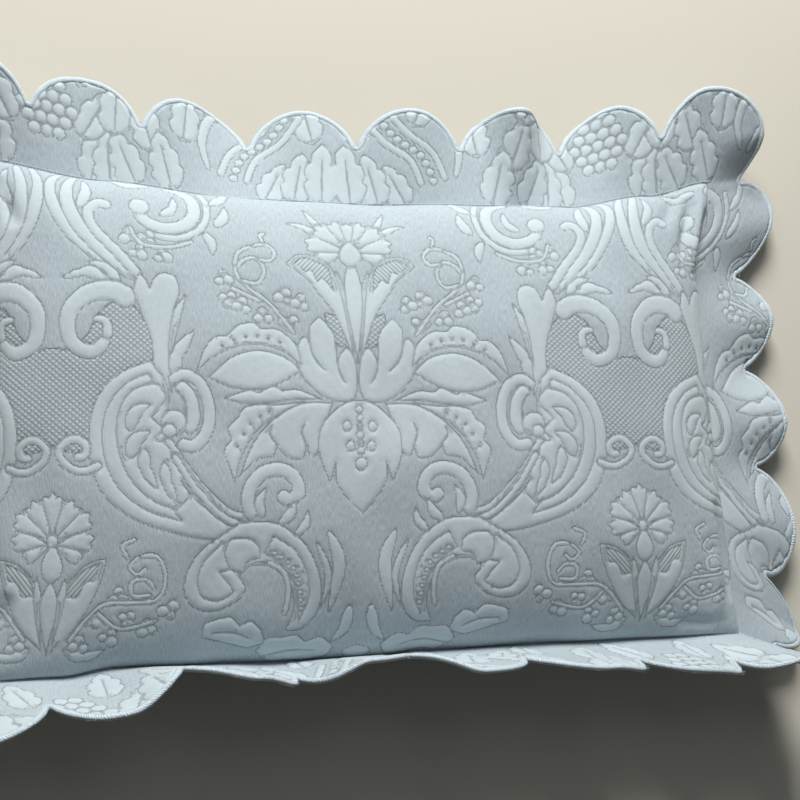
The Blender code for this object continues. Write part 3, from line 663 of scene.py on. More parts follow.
# Leaves of the top edge: root u, root v, degrees from straight up, length
TOP_LEAVES = [
    (24.4, 22.4, -16, 5.6), (22.4, 22.2, 4, 5.2), (19.8, 22.4, 24, 5.4), (25.2, 26.4, -30, 5.2),
    (22.0, 27.0, -4, 5.6), (18.2, 26.0, 16, 5.2), (16.4, 22.6, 14, 5.4), (19.2, 30.4, 26, 4.8),
    (15.2, 27.6, -8, 5.2), (25.4, 31.2, -12, 4.8), (14.8, 32.4, 18, 4.2), (7.4, 22.4, -30, 4.6),
    (4.4, 22.4, -14, 5.2), (1.5, 22.4, -4, 6.0), (2.0, 28.6, 12, 5.0), (0.9, 33.2, 0, 3.8),
    (8.2, 30.2, 22, 4.8), (6.6, 33.2, -12, 3.8), (11.0, 31.0, 34, 4.2),
]


def lay_top_edge():
    """What the flange shows above the body: clusters of grapes, bead chains and lobed leaves."""
    u = HALF_REPEAT
    for root_u, root_v, turn, size in TOP_LEAVES:
        lay([turned_outline(LOBED_LEAF, root_u, root_v, turn, size, size)])
        root = np.array([root_u, root_v])
        along = size * np.array([math.sin(math.radians(turn)), math.cos(math.radians(turn))])
        creases([[tuple(root + along * share) for share in (0.1, 0.45, 0.8)]])
    leaves(
        [
            ([(12.6, 25.4), (13.2, 28.2), (12.2, 31.0), (9.6, 33.2)], 0.5, "swell", 0),
            ([(9.0, 24.4), (7.8, 27.0), (5.2, 28.8), (3.0, 31.6)], 0.36, "band", 0),
            ([(11.6, 25.0), (10.2, 27.8), (7.4, 29.8), (5.2, 32.6)], 0.36, "band", 0),
        ]
    )
    chain([(10.2, 25.0), (9.0, 27.4), (6.2, 29.3), (4.2, 32.0)], 0.95, 0.46, 0.85)
    for row, count in [(26.4, 3), (27.5, 4), (28.6, 5), (29.7, 4), (30.8, 3), (31.9, 2)]:
        lay([ring(u + (i - (count - 1) / 2) * 1.2, row, 0.62, 0.94) for i in range(count)])


lay_top_edge()
lay_top_volute()
lay_trunk()
lay_oval_scroll()
lay_low_scroll()
lay_small_flower()
lay_sprays()
lay_middle_flower()


class Chart:
    """The half repeat on a fine raster. For each point it holds how far away the nearest row of
    stitches is, more than 0 inside the shape that the row goes round, which way that grows, and what
    kind of cloth lies there."""

    def __init__(self):
        self.us = np.arange(-CHART_MARGIN, HALF_REPEAT + CHART_MARGIN, CHART_STEP)
        self.vs = np.arange(PATTERN_LOW - CHART_MARGIN, PATTERN_LOW + REPEAT_HEIGHT + CHART_MARGIN,
            CHART_STEP)
        size = (len(self.vs), len(self.us))
        self.depth = np.full(size, CHART_EMPTY)
        self.grow_u = np.zeros(size)
        self.grow_v = np.zeros(size)
        self.kind = np.zeros(size, int)

    def copies(self, outline):
        """The outline where it and its mirror images and repeats fall on the chart."""
        for turned in (outline, outline * [-1, 1], [2 * HALF_REPEAT, 0] + outline * [-1, 1]):
            for rise in (-REPEAT_HEIGHT, 0, REPEAT_HEIGHT):
                moved = turned + [0, rise]
                low, high = moved.min(axis=0), moved.max(axis=0)
                beside = low[0] >= self.us[-1] or high[0] <= self.us[0]
                if not beside and low[1] < self.vs[-1] and high[1] > self.vs[0]:
                    yield moved

    def stitch(self, outline, kind):
        """Lays one shape over what is there."""
        low, high = outline.min(axis=0) - STITCH_REACH, outline.max(axis=0) + STITCH_REACH
        c0, c1 = np.searchsorted(self.us, [low[0], high[0]])
        r0, r1 = np.searchsorted(self.vs, [low[1], high[1]])
        if c0 >= c1 or r0 >= r1:
            return
        u, v = np.meshgrid(self.us[c0:c1], self.vs[r0:r1])
        run = np.roll(outline, -1, axis=0) - outline
        du = u[..., None] - outline[:, 0]
        dv = v[..., None] - outline[:, 1]
        part = np.clip((du * run[:, 0] + dv * run[:, 1]) / (run**2).sum(axis=1), 0, 1)
        off_u = du - part * run[:, 0]
        off_v = dv - part * run[:, 1]
        nearest = (off_u**2 + off_v**2).argmin(axis=-1)[..., None]
        off_u = np.take_along_axis(off_u, nearest, -1)[..., 0]
        off_v = np.take_along_axis(off_v, nearest, -1)[..., 0]
        away = np.maximum(np.hypot(off_u, off_v), 1e-6)
        rises = (outline[:, 1] > v[..., None]) != ((outline + run)[:, 1] > v[..., None])
        with np.errstate(divide="ignore", invalid="ignore"):
            cross = outline[:, 0] + dv / run[:, 1] * run[:, 0]
        within = (rises & (u[..., None] < cross)).sum(axis=-1) % 2 == 1
        side = np.where(within, 1, -1)
        area = (slice(r0, r1), slice(c0, c1))
        closer = within | (away < np.abs(self.depth[area]))
        self.depth[area] = np.where(closer, side * away, self.depth[area])
        self.grow_u[area] = np.where(closer, side * off_u / away, self.grow_u[area])
        self.grow_v[area] = np.where(closer, side * off_v / away, self.grow_v[area])
        self.kind[area] = np.where(within, kind, self.kind[area])

    def read(self, s, t, what):
        """The chart's value at points of the flat cloth."""
        u, v, _ = on_chart(s, t)
        column = (u - self.us[0]) / CHART_STEP
        row = (v - self.vs[0]) / CHART_STEP
        c, r = column.astype(int), row.astype(int)
        fc, fr = column - c, row - r
        return (
            what[r, c] * (1 - fc) * (1 - fr)
            + what[r, c + 1] * fc * (1 - fr)
            + what[r + 1, c] * (1 - fc) * fr
            + what[r + 1, c + 1] * fc * fr
        )

    def away(self, s, t):
        return self.read(s, t, np.abs(self.depth))


def on_chart(s, t):
    """Points of the flat cloth as places in the half repeat, in cm, and which way round it lies."""
    u = (s / CM - PATTERN_AXIS + HALF_REPEAT) % (2 * HALF_REPEAT) - HALF_REPEAT
    v = (t / CM - PATTERN_LOW) % REPEAT_HEIGHT + PATTERN_LOW
    return np.abs(u), v, np.where(u < 0, -1, 1)


STITCH_REACH = 1.0
chart = Chart()
for outline, kind in shapes:
    for copy in chart.copies(outline):
        chart.stitch(copy, kind)


# The cloth's points, in cm: along the rows of stitches, beside them, and over the rest in staggered
# rows. A point counts as on a row when it is no further off than ON_ROW.
LINE_STEP = 0.21
ROW_OFF = 0.13
FILL_STEP = 0.34
FILL_ROW_SHARE = 0.87
KEEP_APART = 0.085 * 1.4
ON_ROW = 0.075
FILL_CLEAR = 0.24


def line_points():
    """Points along every row of stitches in the half repeat, and the way across the row."""
    found = []
    for outline, _ in shapes:
        run = np.roll(outline, -1, axis=0) - outline
        used = np.concatenate([[0], np.cumsum(np.hypot(*run.T))])
        at = np.arange(0, used[-1], LINE_STEP)
        closed = np.concatenate([outline, outline[:1]])
        points = np.stack([np.interp(at, used, closed[:, k]) for k in (0, 1)], -1)
        leg = np.clip(np.searchsorted(used, at, side="right") - 1, 0, len(run) - 1)
        across = np.stack([run[leg, 1], -run[leg, 0]], -1) / np.hypot(*run[leg].T)[:, None]
        found.append(np.concatenate([points, across], axis=1))
    points = np.concatenate(found)
    return points[(points[:, 0] > -0.05) & (points[:, 0] < HALF_REPEAT + 0.05)]


def spread_over(points, width, height):
    """Points of the half repeat, with the way across, carried to every copy over the flat cloth."""
    found = []
    for repeat in (-1, 0, 1):
        for turn in (-1, 1):
            for rise in (-REPEAT_HEIGHT, 0, REPEAT_HEIGHT):
                s = (PATTERN_AXIS + 2 * HALF_REPEAT * repeat + turn * points[:, 0]) * CM
                t = (points[:, 1] + rise) * CM
                keep = (np.abs(s) < width) & (np.abs(t) < height)
                found.append(np.stack([s, t, turn * points[:, 2], points[:, 3]], -1)[keep])
    return np.concatenate(found)


def thinned(points, apart, taken):
    """The points that lie in a cell of their own, first come first kept."""
    keep = []
    for i, cell in enumerate(map(tuple, np.round(points / apart).astype(int))):
        if cell not in taken:
            taken.add(cell)
            keep.append(i)
    return keep


def cloth_points(width, height, inside):
    """Points over the flat cloth: along the stitches, beside them, and over the rest."""
    lines = spread_over(line_points(), width, height)
    lines = lines[inside(lines[:, 0], lines[:, 1])]
    lines = lines[chart.away(lines[:, 0], lines[:, 1]) < ON_ROW]
    taken = set()
    lines = lines[thinned(lines[:, :2] / CM, KEEP_APART, taken)]
    beside = np.concatenate([lines[:, :2] + side * ROW_OFF * CM * lines[:, 2:] for side in (-1, 1)])
    beside = beside[inside(beside[:, 0], beside[:, 1])]
    beside = beside[chart.away(beside[:, 0], beside[:, 1]) > ON_ROW]
    beside = beside[thinned(beside / CM, KEEP_APART, taken)]
    rows = np.arange(-height, height, FILL_STEP * CM * FILL_ROW_SHARE)
    fill = []
    for i, t in enumerate(rows):
        s = np.arange(-width + (i % 2) * FILL_STEP * CM / 2, width, FILL_STEP * CM)
        fill.append(np.stack([s, np.full(len(s), t)], -1))
    fill = np.concatenate(fill)
    fill = fill[inside(fill[:, 0], fill[:, 1])]
    fill = fill[chart.away(fill[:, 0], fill[:, 1]) > FILL_CLEAR]
    return np.concatenate([lines[:, :2], beside, fill])


def rectangle(half_width, half_height, step):
    """Points around a rectangle on the flat cloth, anticlockwise."""
    columns = round(2 * half_width / step)
    rows = round(2 * half_height / step)
    across = np.linspace(-half_width, half_width, columns + 1)[:-1]
    up = np.linspace(-half_height, half_height, rows + 1)[:-1]
    return np.concatenate(
        [
            np.stack([across, np.full(columns, -half_height)], -1),
            np.stack([np.full(rows, half_width), up], -1),
            np.stack([-across, np.full(columns, half_height)], -1),
            np.stack([np.full(rows, -half_width), -up], -1),
        ]
    )


def within_loop(points, loop):
    """Whether each point lies inside a closed loop."""
    found = np.zeros(len(points), bool)
    for start, end in zip(loop, np.roll(loop, -1, axis=0)):
        crosses = (start[1] > points[:, 1]) != (end[1] > points[:, 1])
        with np.errstate(divide="ignore", invalid="ignore"):
            at = start[0] + (points[:, 1] - start[1]) * (end[0] - start[0]) / (end[1] - start[1])
        found ^= crosses & (points[:, 0] < at)
    return found


def divided(loops, loose):
    """Triangles over the flat cloth with every loop as edges, and their points."""
    points = []
    edges = []
    for loop in loops:
        edges += [(len(points) + i, len(points) + (i + 1) % len(loop)) for i in range(len(loop))]
        points += list(loop)
    points += list(loose)
    result = delaunay_2d_cdt([Vector(p) for p in points], edges, [], 0, 1e-6, False)
    return np.array([tuple(v) for v in result[0]]), np.array(result[2])


# Heights in metres, and how far from a row of stitches they are reached, in cm
PAD_RISE = 0.0007
GROUND_RISE = 0.00025
STITCH_DIP = 0.0002
PAD_SOFTNESS = 0.11
ROW_HALF = 0.05
DIP_REACH = 0.07


def relief(s, t):
    """Height of the quilting over the stitched rows: plump pads on a lower ground."""
    away = np.maximum(chart.away(s, t) - ROW_HALF, 0)
    pad = chart.read(s, t, (chart.kind == PAD).astype(float))
    fill = 1 - np.exp(-away / PAD_SOFTNESS)
    height = (GROUND_RISE + (PAD_RISE - GROUND_RISE) * pad) * fill
    return height - STITCH_DIP * np.exp(-((away / DIP_REACH) ** 2))


def make_cloth(name, points, faces, flat, values, finish):
    """A piece of cloth from points, triangles, its places on the flat cloth and its pattern values."""
    mesh = bpy.data.meshes.new(name)
    mesh.vertices.add(len(points))
    mesh.vertices.foreach_set("co", points.astype(np.float32).ravel())
    mesh.loops.add(len(faces) * 3)
    mesh.loops.foreach_set("vertex_index", faces.astype(np.int32).ravel())
    mesh.polygons.add(len(faces))
    mesh.polygons.foreach_set("loop_start", np.arange(0, len(faces) * 3, 3, dtype=np.int32))
    mesh.polygons.foreach_set("loop_total", np.full(len(faces), 3, dtype=np.int32))
    mesh.update(calc_edges=True)
    mesh.validate()
    mesh.shade_smooth()
    laid = mesh.attributes.new("laid_out", "FLOAT_VECTOR", "POINT")
    laid.data.foreach_set("vector", np.column_stack([flat * 1000,
        np.zeros(len(flat))]).astype(np.float32).ravel())
    for key, value in values.items():
        value = np.asarray(value, np.float32)
        store = mesh.attributes.new(key, "FLOAT" if value.ndim == 1 else "FLOAT_VECTOR", "POINT")
        store.data.foreach_set("value" if value.ndim == 1 else "vector", value.ravel())
    piece = bpy.data.objects.new(name, mesh)
    bpy.context.collection.objects.link(piece)
    mesh.materials.append(finish)
    return piece


def linear(hex_colour):
    """An sRGB hex value as linear red, green, blue and full alpha."""
    parts = [int(hex_colour[i : i + 2], 16) / 255 for i in (1, 3, 5)]
    return tuple(c / 12.92 if c <= 0.04045 else ((c + 0.055) / 1.055) ** 2.4 for c in parts) + (1.0,)


def add_node(tree, kind, links=None, **settings):
    """Adds a node, sets its properties and plain inputs, and links its other inputs."""
    node = tree.nodes.new(kind)
    for key, value in settings.items():
        setattr(node, key, value)
    for key, source in (links or {}).items():
        if isinstance(source, (int, float, tuple)):
            node.inputs[key].default_value = source
        else:
            tree.links.new(source, node.inputs[key])
    return node


def attribute(tree, name, output="Fac"):
    return add_node(tree, "ShaderNodeAttribute", attribute_name=name).outputs[output]


def mixed(tree, factor, first, second, blend="MIX"):
    """One colour mixed with or multiplied by another."""
    links = {"Factor": factor, 6: first, 7: second}
    return add_node(tree, "ShaderNodeMix", links, data_type="RGBA", blend_type=blend).outputs[2]


def maths(tree, operation, first, second=0.0, third=0.0, clamp=False):
    """One step of arithmetic on values or sockets."""
    node = add_node(tree, "ShaderNodeMath", {0: first, 1: second, 2: third}, operation=operation,
        use_clamp=clamp)
    return node.outputs[0]


def noise(tree, laid, across, up, detail):
    """Noise over the flat cloth whose grains are about so many mm across and up."""
    scaled = add_node(tree, "ShaderNodeVectorMath", {0: laid, 1: (1 / across, 1 / up, 1.0)},
        operation="MULTIPLY")
    node = add_node(tree, "ShaderNodeTexNoise", {"Vector": scaled.outputs[0], "Scale": 1.0,
        "Detail": detail})
    return node.outputs["Fac"]


def ranged(tree, value, low, high, to_low, to_high):
    node = add_node(tree, "ShaderNodeMapRange", {"Value": value, 1: low, 2: high, 3: to_low, 4: to_high})
    return node.outputs[0]


# The weave's small squares, which give the stitched rows their stepped edge. They are drawn about a
# quarter coarser than the real ones.
WEAVE_CELL = 1.25
HATCH_PITCH = 3.5
# The netted ground's small diamonds, a whole number of them to each repeat of the pattern
NET_WIDE = 20 * HALF_REPEAT / 92
NET_HIGH = 5.4


def matelasse_cotton(name):
    """Jacquard-woven cotton, washed: matt, with fine upright ribs in the ground, smooth pads and rows of
    small stitches that sink into it. The eye sees the ground a shade darker than the pads. The stitches,
    the bars of the hatched leaves and the rows of the net are darkened with painted shade, as shade falls
    in their sunk rows, so the stitches show as dark dots that climb along each outline in steps."""
    finish = bpy.data.materials.new(name)
    finish.use_nodes = True
    tree = finish.node_tree
    cloth = tree.nodes["Principled BSDF"]
    laid = attribute(tree, "laid_out", "Vector")
    pad = attribute(tree, "pad")
    away = attribute(tree, "stitch_away")
    depth = attribute(tree, "stitch_depth")
    grows = attribute(tree, "depth_grows", "Vector")
    hatch = attribute(tree, "hatch")
    net = attribute(tree, "net")
    # A small square takes painted shade where its middle lies on a row of sunk stitches, and every other
    # one takes more of it
    cells = add_node(tree, "ShaderNodeVectorMath", {0: laid, 1: (1 / WEAVE_CELL,) * 3},
        operation="MULTIPLY")
    part = add_node(tree, "ShaderNodeVectorMath", {0: cells.outputs[0]}, operation="FRACTION")
    to_middle = add_node(
        tree,
        "ShaderNodeVectorMath",
        {0: part.outputs[0], 1: (-WEAVE_CELL,) * 3, 2: (WEAVE_CELL / 2,) * 3},
        operation="MULTIPLY_ADD",
    )
    step = add_node(tree, "ShaderNodeVectorMath", {0: grows, 1: to_middle.outputs[0]},
        operation="DOT_PRODUCT")
    middle_depth = maths(tree, "ABSOLUTE", maths(tree, "ADD", depth, step.outputs["Value"]))
    on_row = ranged(tree, middle_depth, 0.45 * WEAVE_CELL, 0.62 * WEAVE_CELL, 1.0, 0.0)
    near = ranged(tree, away, 1.6, 2.2, 1.0, 0.0)
    checks = add_node(tree, "ShaderNodeTexChecker",
        {"Vector": cells.outputs[0], "Scale": 1.0}).outputs["Fac"]
    every_other = ranged(tree, checks, 0.0, 1.0, 0.12, 1.0)
    stitches = maths(tree, "MULTIPLY", maths(tree, "MULTIPLY", on_row, near), every_other)
    # Slanting bars of the hatched leaves, which turn with the pattern's mirrored halves
    sides = add_node(tree, "ShaderNodeSeparateXYZ", {0: laid})
    slant = maths(tree, "MULTIPLY", maths(tree, "MULTIPLY", sides.outputs[0], maths(tree, "SIGN", hatch)),
        0.75)
    slant = maths(tree, "MULTIPLY_ADD", sides.outputs[1], 0.66, slant)
    bars = maths(tree, "FRACT", maths(tree, "DIVIDE", slant, HATCH_PITCH))
    bars = ranged(tree, maths(tree, "ABSOLUTE", maths(tree, "SUBTRACT", bars, 0.5)), 0.18, 0.28, 1.0, 0.0)
    hatched = ranged(tree, maths(tree, "ABSOLUTE", hatch), 0.4, 0.6, 0.0, 1.0)
    bars = maths(tree, "MULTIPLY", bars, hatched)
    # Diamonds of the net, between two sets of slanting rows of stitches
    from_axis = maths(tree, "DIVIDE", maths(tree, "SUBTRACT", sides.outputs[0], PATTERN_AXIS * 10),
        NET_WIDE)
    climb = maths(tree, "DIVIDE", sides.outputs[1], NET_HIGH)
    one_way = maths(tree, "FRACT", maths(tree, "ADD", from_axis, climb))
    other_way = maths(tree, "FRACT", maths(tree, "SUBTRACT", from_axis, climb))
    one_way = maths(tree, "ABSOLUTE", maths(tree, "SUBTRACT", one_way, 0.5))
    other_way = maths(tree, "ABSOLUTE", maths(tree, "SUBTRACT", other_way, 0.5))
    rows = ranged(tree, maths(tree, "MAXIMUM", one_way, other_way), 0.27, 0.46, 0.0, 1.0)
    rows = maths(tree, "MULTIPLY", rows, ranged(tree, net, 0.4, 0.6, 0.0, 1.0))
    # Ribs about 1.6 mm apart, which wander and break, threads finer than that, and soft puckers
    ribs = noise(tree, laid, 1.15, 7.0, 1.0)
    threads = noise(tree, laid, 0.7, 0.7, 1.0)
    puckers = noise(tree, laid, 5.0, 8.0, 2.0)
    clouds = noise(tree, laid, 60.0, 70.0, 2.0)
    is_pad = ranged(tree, pad, 0.35, 0.65, 0.0, 1.0)
    shade = mixed(tree, is_pad, linear("#acb8be"), linear("#bcc8cd"))
    rib_shade = maths(tree, "MULTIPLY", ranged(tree, ribs, 0.35, 0.65, -0.09, 0.07),
        ranged(tree, is_pad, 0, 1, 1.0, 0.22))
    pucker_shade = ranged(tree, puckers, 0.3, 0.7, -0.02, 0.02)
    cloud_shade = ranged(tree, clouds, 0.3, 0.7, 0.97, 1.03)
    tone = maths(tree, "ADD", maths(tree, "ADD", rib_shade, pucker_shade), cloud_shade)
    # Painted shade: the colour darkens on the sunk stitches, the hatched leaves' bars and the net's rows,
    # and the net's diamonds between them are a little lighter
    tone = maths(tree, "MULTIPLY", tone, ranged(tree, stitches, 0.0, 1.0, 1.0, 0.44))
    tone = maths(tree, "MULTIPLY", tone, ranged(tree, bars, 0.0, 1.0, 1.0, 0.68))
    tone = maths(tree, "MULTIPLY", tone, ranged(tree, rows, 0.0, 1.0, 1.04, 0.72))
    tree.links.new(mixed(tree, 1.0, shade, tone, "MULTIPLY"), cloth.inputs["Base Color"])
    # Height in mm: ribs strong in the ground and faint on the pads, stitches sunk in
    rise = maths(tree, "MULTIPLY", ribs, ranged(tree, is_pad, 0, 1, 0.5, 0.1))
    rise = maths(tree, "MULTIPLY_ADD", threads, 0.08, rise)
    rise = maths(tree, "MULTIPLY_ADD", puckers, 0.35, rise)
    rise = maths(tree, "MULTIPLY_ADD", stitches, -0.35, rise)
    rise = maths(tree, "MULTIPLY_ADD", bars, -0.3, rise)
    rise = maths(tree, "MULTIPLY_ADD", rows, -0.4, rise)
    bump = add_node(tree, "ShaderNodeBump", {"Height": rise, "Strength": 1.0, "Distance": 0.001})
    tree.links.new(bump.outputs[0], cloth.inputs["Normal"])
    cloth.inputs["Roughness"].default_value = 0.85
    cloth.inputs["Sheen Weight"].default_value = 0.2
    cloth.inputs["Sheen Roughness"].default_value = 0.5
    cloth.inputs["Specular IOR Level"].default_value = 0.25
    return finish


COTTON = matelasse_cotton("matelasse_cotton")
# The seam's points, the row of points beside it, and where the pattern's own points and full height
# start
SEAM_STEP = 0.0035
NEAR_SEAM = 0.003
PATTERN_FROM_SEAM = 0.005
SEAM_FADE = 0.008
SWELL_WAVE = 0.11
SWELL_RISE = 0.0014


def pattern_values(s, t):
    """What the finish reads at each point: depth inside the nearest row of stitches, in mm, the way
    it grows, and how far the cloth is pad or hatched leaf."""
    turn = on_chart(s, t)[2]
    grow = np.stack([turn * chart.read(s, t, chart.grow_u), chart.read(s, t, chart.grow_v)], -1)
    grow /= np.maximum(np.linalg.norm(grow, axis=1), 0.2)[:, None]
    return {
        "stitch_depth": chart.read(s, t, chart.depth) * 10,
        "stitch_away": chart.away(s, t) * 10,
        "depth_grows": np.column_stack([grow, np.zeros(len(s))]),
        "pad": chart.read(s, t, np.select([chart.kind == GROUND, chart.kind == NET], [0.0, 0.5], 1.0)),
        "net": chart.read(s, t, (chart.kind == NET).astype(float)),
        "hatch": turn * chart.read(s, t, (chart.kind == HATCH).astype(float)),
    }


def front_panel():
    seam = rectangle(HALF_WIDTH, HALF_HEIGHT, SEAM_STEP)
    near = rectangle(HALF_WIDTH - NEAR_SEAM, HALF_HEIGHT - NEAR_SEAM, SEAM_STEP)
    loose = cloth_points(HALF_WIDTH, HALF_HEIGHT, lambda s, t: from_seam(s, t) > PATTERN_FROM_SEAM)
    flat, faces = divided([seam, near], loose)
    s, t = flat.T
    fade = np.clip(from_seam(s, t) / SEAM_FADE, 0, 1)
    swell = SWELL_RISE * ripple(s, t, SWELL_WAVE, 3)
    rise = (relief(s, t) + fold_height(s, t) + swell) * fade
    points = place(s, t) + facing(s, t) * rise[:, None]
    return make_cloth("front_panel", points, faces, flat, pattern_values(s, t), COTTON)


panel = front_panel()
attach(panel, "root")
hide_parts("pillow_sham")


# The flange: both panels together, beyond the seam, quilted in the same pattern and cut in scallops
# of one size along each side, with a larger one at each corner.
FLANGE_WIDTH = 0.1016
FLANGE_THICKNESS = 0.003
SCALLOP_DEPTH = 0.042
LONG_SIDE_SCALLOPS = 6
LONG_SIDE_PITCH = 0.1088
SHORT_SIDE_SCALLOPS = 5
SHORT_SIDE_PITCH = 0.100
CORNER_LOBE_RADIUS = 0.062
CORNER_LOBE_CENTRE = (0.385, 0.294)
VALLEY_RADIUS = 0.0015
EDGING_WIDTH = 0.0057
CUT_INSET = EDGING_WIDTH * 0.8
CUT_STEPS = (44, 6)
CUT_CLEAR = 0.002
FLANGE_FADE = 0.006
REACH_MARGIN = 0.02


def lobes():
    """Centre and radius of every scallop, anticlockwise from the right of the bottom right corner."""
    long_radius = (LONG_SIDE_PITCH**2 / 4 + SCALLOP_DEPTH**2) / (2 * SCALLOP_DEPTH)
    short_radius = (SHORT_SIDE_PITCH**2 / 4 + SCALLOP_DEPTH**2) / (2 * SCALLOP_DEPTH)
    long_line = HALF_HEIGHT + FLANGE_WIDTH - long_radius
    short_line = HALF_WIDTH + FLANGE_WIDTH - short_radius
    along = [(i - (LONG_SIDE_SCALLOPS - 1) / 2) * LONG_SIDE_PITCH for i in range(LONG_SIDE_SCALLOPS)]
    beside = [(i - (SHORT_SIDE_SCALLOPS - 1) / 2) * SHORT_SIDE_PITCH for i in range(SHORT_SIDE_SCALLOPS)]
    corner_s, corner_t = CORNER_LOBE_CENTRE
    found = [(short_line, t, short_radius) for t in beside]
    found += [(corner_s, corner_t, CORNER_LOBE_RADIUS)]
    found += [(-s, long_line, long_radius) for s in along]
    found += [(-corner_s, corner_t, CORNER_LOBE_RADIUS)]
    found += [(-short_line, -t, short_radius) for t in beside]
    found += [(-corner_s, -corner_t, CORNER_LOBE_RADIUS)]
    found += [(s, -long_line, long_radius) for s in along]
    found += [(corner_s, -corner_t, CORNER_LOBE_RADIUS)]
    return found


def valley(first, second):
    """Centre of the small round between two scallops, outside the cloth."""
    one, two = np.array(first[:2]), np.array(second[:2])
    reach_one, reach_two = first[2] + VALLEY_RADIUS, second[2] + VALLEY_RADIUS
    apart = np.linalg.norm(two - one)
    along = (apart**2 + reach_one**2 - reach_two**2) / (2 * apart)
    forward = (two - one) / apart
    outward = np.array([forward[1], -forward[0]])
    return one + forward * along + outward * np.sqrt(reach_one**2 - along**2)


def arc(centre, radius, start, end, count):
    """Points along an arc from one angle to another."""
    turn = np.linspace(start, end, count)
    return centre + radius * np.stack([np.cos(turn), np.sin(turn)], -1)


def angle(centre, point):
    return np.arctan2(point[1] - centre[1], point[0] - centre[0])


def scalloped(inset, lobe_steps, valley_steps):
    """The scalloped outline on the flat cloth, anticlockwise, moved in from the outer edge."""
    ring_of = lobes()
    count = len(ring_of)
    points = []
    for i, (s, t, radius) in enumerate(ring_of):
        centre = np.array([s, t])
        before = valley(ring_of[i - 1], ring_of[i])
        after = valley(ring_of[i], ring_of[(i + 1) % count])
        start = angle(centre, before)
        sweep = (angle(centre, after) - start) % (2 * np.pi)
        points += list(arc(centre, radius - inset, start, start + sweep, lobe_steps))
        start = angle(after, centre)
        sweep = -((start - angle(after, ring_of[(i + 1) % count][:2])) % (2 * np.pi))
        points += list(arc(after, VALLEY_RADIUS + inset, start, start + sweep, valley_steps)[1:-1])
    return np.array(points)


def flange():
    edge = scalloped(CUT_INSET, *CUT_STEPS)
    seam = rectangle(HALF_WIDTH, HALF_HEIGHT, SEAM_STEP)
    outer = (HALF_WIDTH + FLANGE_WIDTH, HALF_HEIGHT + FLANGE_WIDTH + REACH_MARGIN)

    def on_flange(s, t):
        found = from_seam(s, t) < -NEAR_SEAM
        found[found] = within_loop(np.stack([s[found], t[found]], -1),
            scalloped(CUT_INSET + CUT_CLEAR, 16, 4))
        return found

    loose = cloth_points(*outer, on_flange)
    flat, faces = divided([edge, seam], loose)
    middle = flat[faces].mean(axis=1)
    faces = faces[(from_seam(*middle.T) < 0) & within_loop(middle, edge)]
    s, t = flat.T
    fade = np.clip(-from_seam(s, t) / FLANGE_FADE, 0, 1)
    front = place(s, t) + facing(s, t) * (relief(s, t) * fade)[:, None]
    back = place(s, t) - facing(s, t) * FLANGE_THICKNESS
    count = len(flat)
    rim = [(i, (i + 1) % len(edge)) for i in range(len(edge))]
    wall = [(i, i + count, j + count) for i, j in rim] + [(i, j + count, j) for i, j in rim]
    faces_all = np.concatenate([faces, faces[:, ::-1] + count, np.array(wall)])
    values = {key: np.concatenate([value, value]) for key, value in pattern_values(s, t).items()}
    return make_cloth("flange", np.concatenate([front, back]), faces_all, np.tile(flat, (2, 1)), values,
        COTTON)


def area_within(loop):
    after = np.roll(loop, -1, axis=0)
    return abs((loop[:, 0] * after[:, 1] - loop[:, 1] * after[:, 0]).sum()) / 2


# Its area is that of both layers, the front panel's and the back panel's
border = flange()
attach(border, "root")
2 * (area_within(scalloped(CUT_INSET, *CUT_STEPS)) - 4 * HALF_WIDTH * HALF_HEIGHT)


# The edging: a satin cord bent over the raw edge of the flange all round and sewn down with close
# slanting stitches, which show as fine ridges. Here and there a cut thread of it has worked loose.
CORD_RISE = 0.0024
CORD_SIDES = 12
CORD_STEPS = (60, 8)
CORD_TURN = 0.0019
LOOSE_THREADS = 620
LOOSE_RADIUS = 0.00011
LOOSE_LENGTH = (0.001, 0.0036)
LOOSE_LEAN = 1.2
LOOSE_STEPS = 4
LOOSE_SIDES = 3


def tubes(paths, radii, sides):
    """Points and triangles of thin round threads, one to each path, with a radius for each step."""
    ahead = np.gradient(paths, axis=1)
    ahead /= np.linalg.norm(ahead, axis=-1)[..., None]
    aside = np.cross(ahead, [0.31, 0.22, 0.93])
    aside /= np.linalg.norm(aside, axis=-1)[..., None]
    over = np.cross(aside, ahead)
    turn = np.linspace(0, 2 * np.pi, sides, endpoint=False)
    round_it = aside[:, :, None] * np.cos(turn)[:, None] + over[:, :, None] * np.sin(turn)[:, None]
    points = paths[:, :, None] + round_it * np.asarray(radii)[None, :, None, None]
    count, steps = paths.shape[:2]
    number = np.arange(count * steps * sides).reshape(count, steps, sides)
    here, after = number[:, :-1], number[:, 1:]
    near, far = np.roll(here, -1, axis=2), np.roll(after, -1, axis=2)
    first = np.stack([here, near, far], -1).reshape(-1, 3)
    second = np.stack([here, far, after], -1).reshape(-1, 3)
    return points.reshape(-1, 3), np.concatenate([first, second])


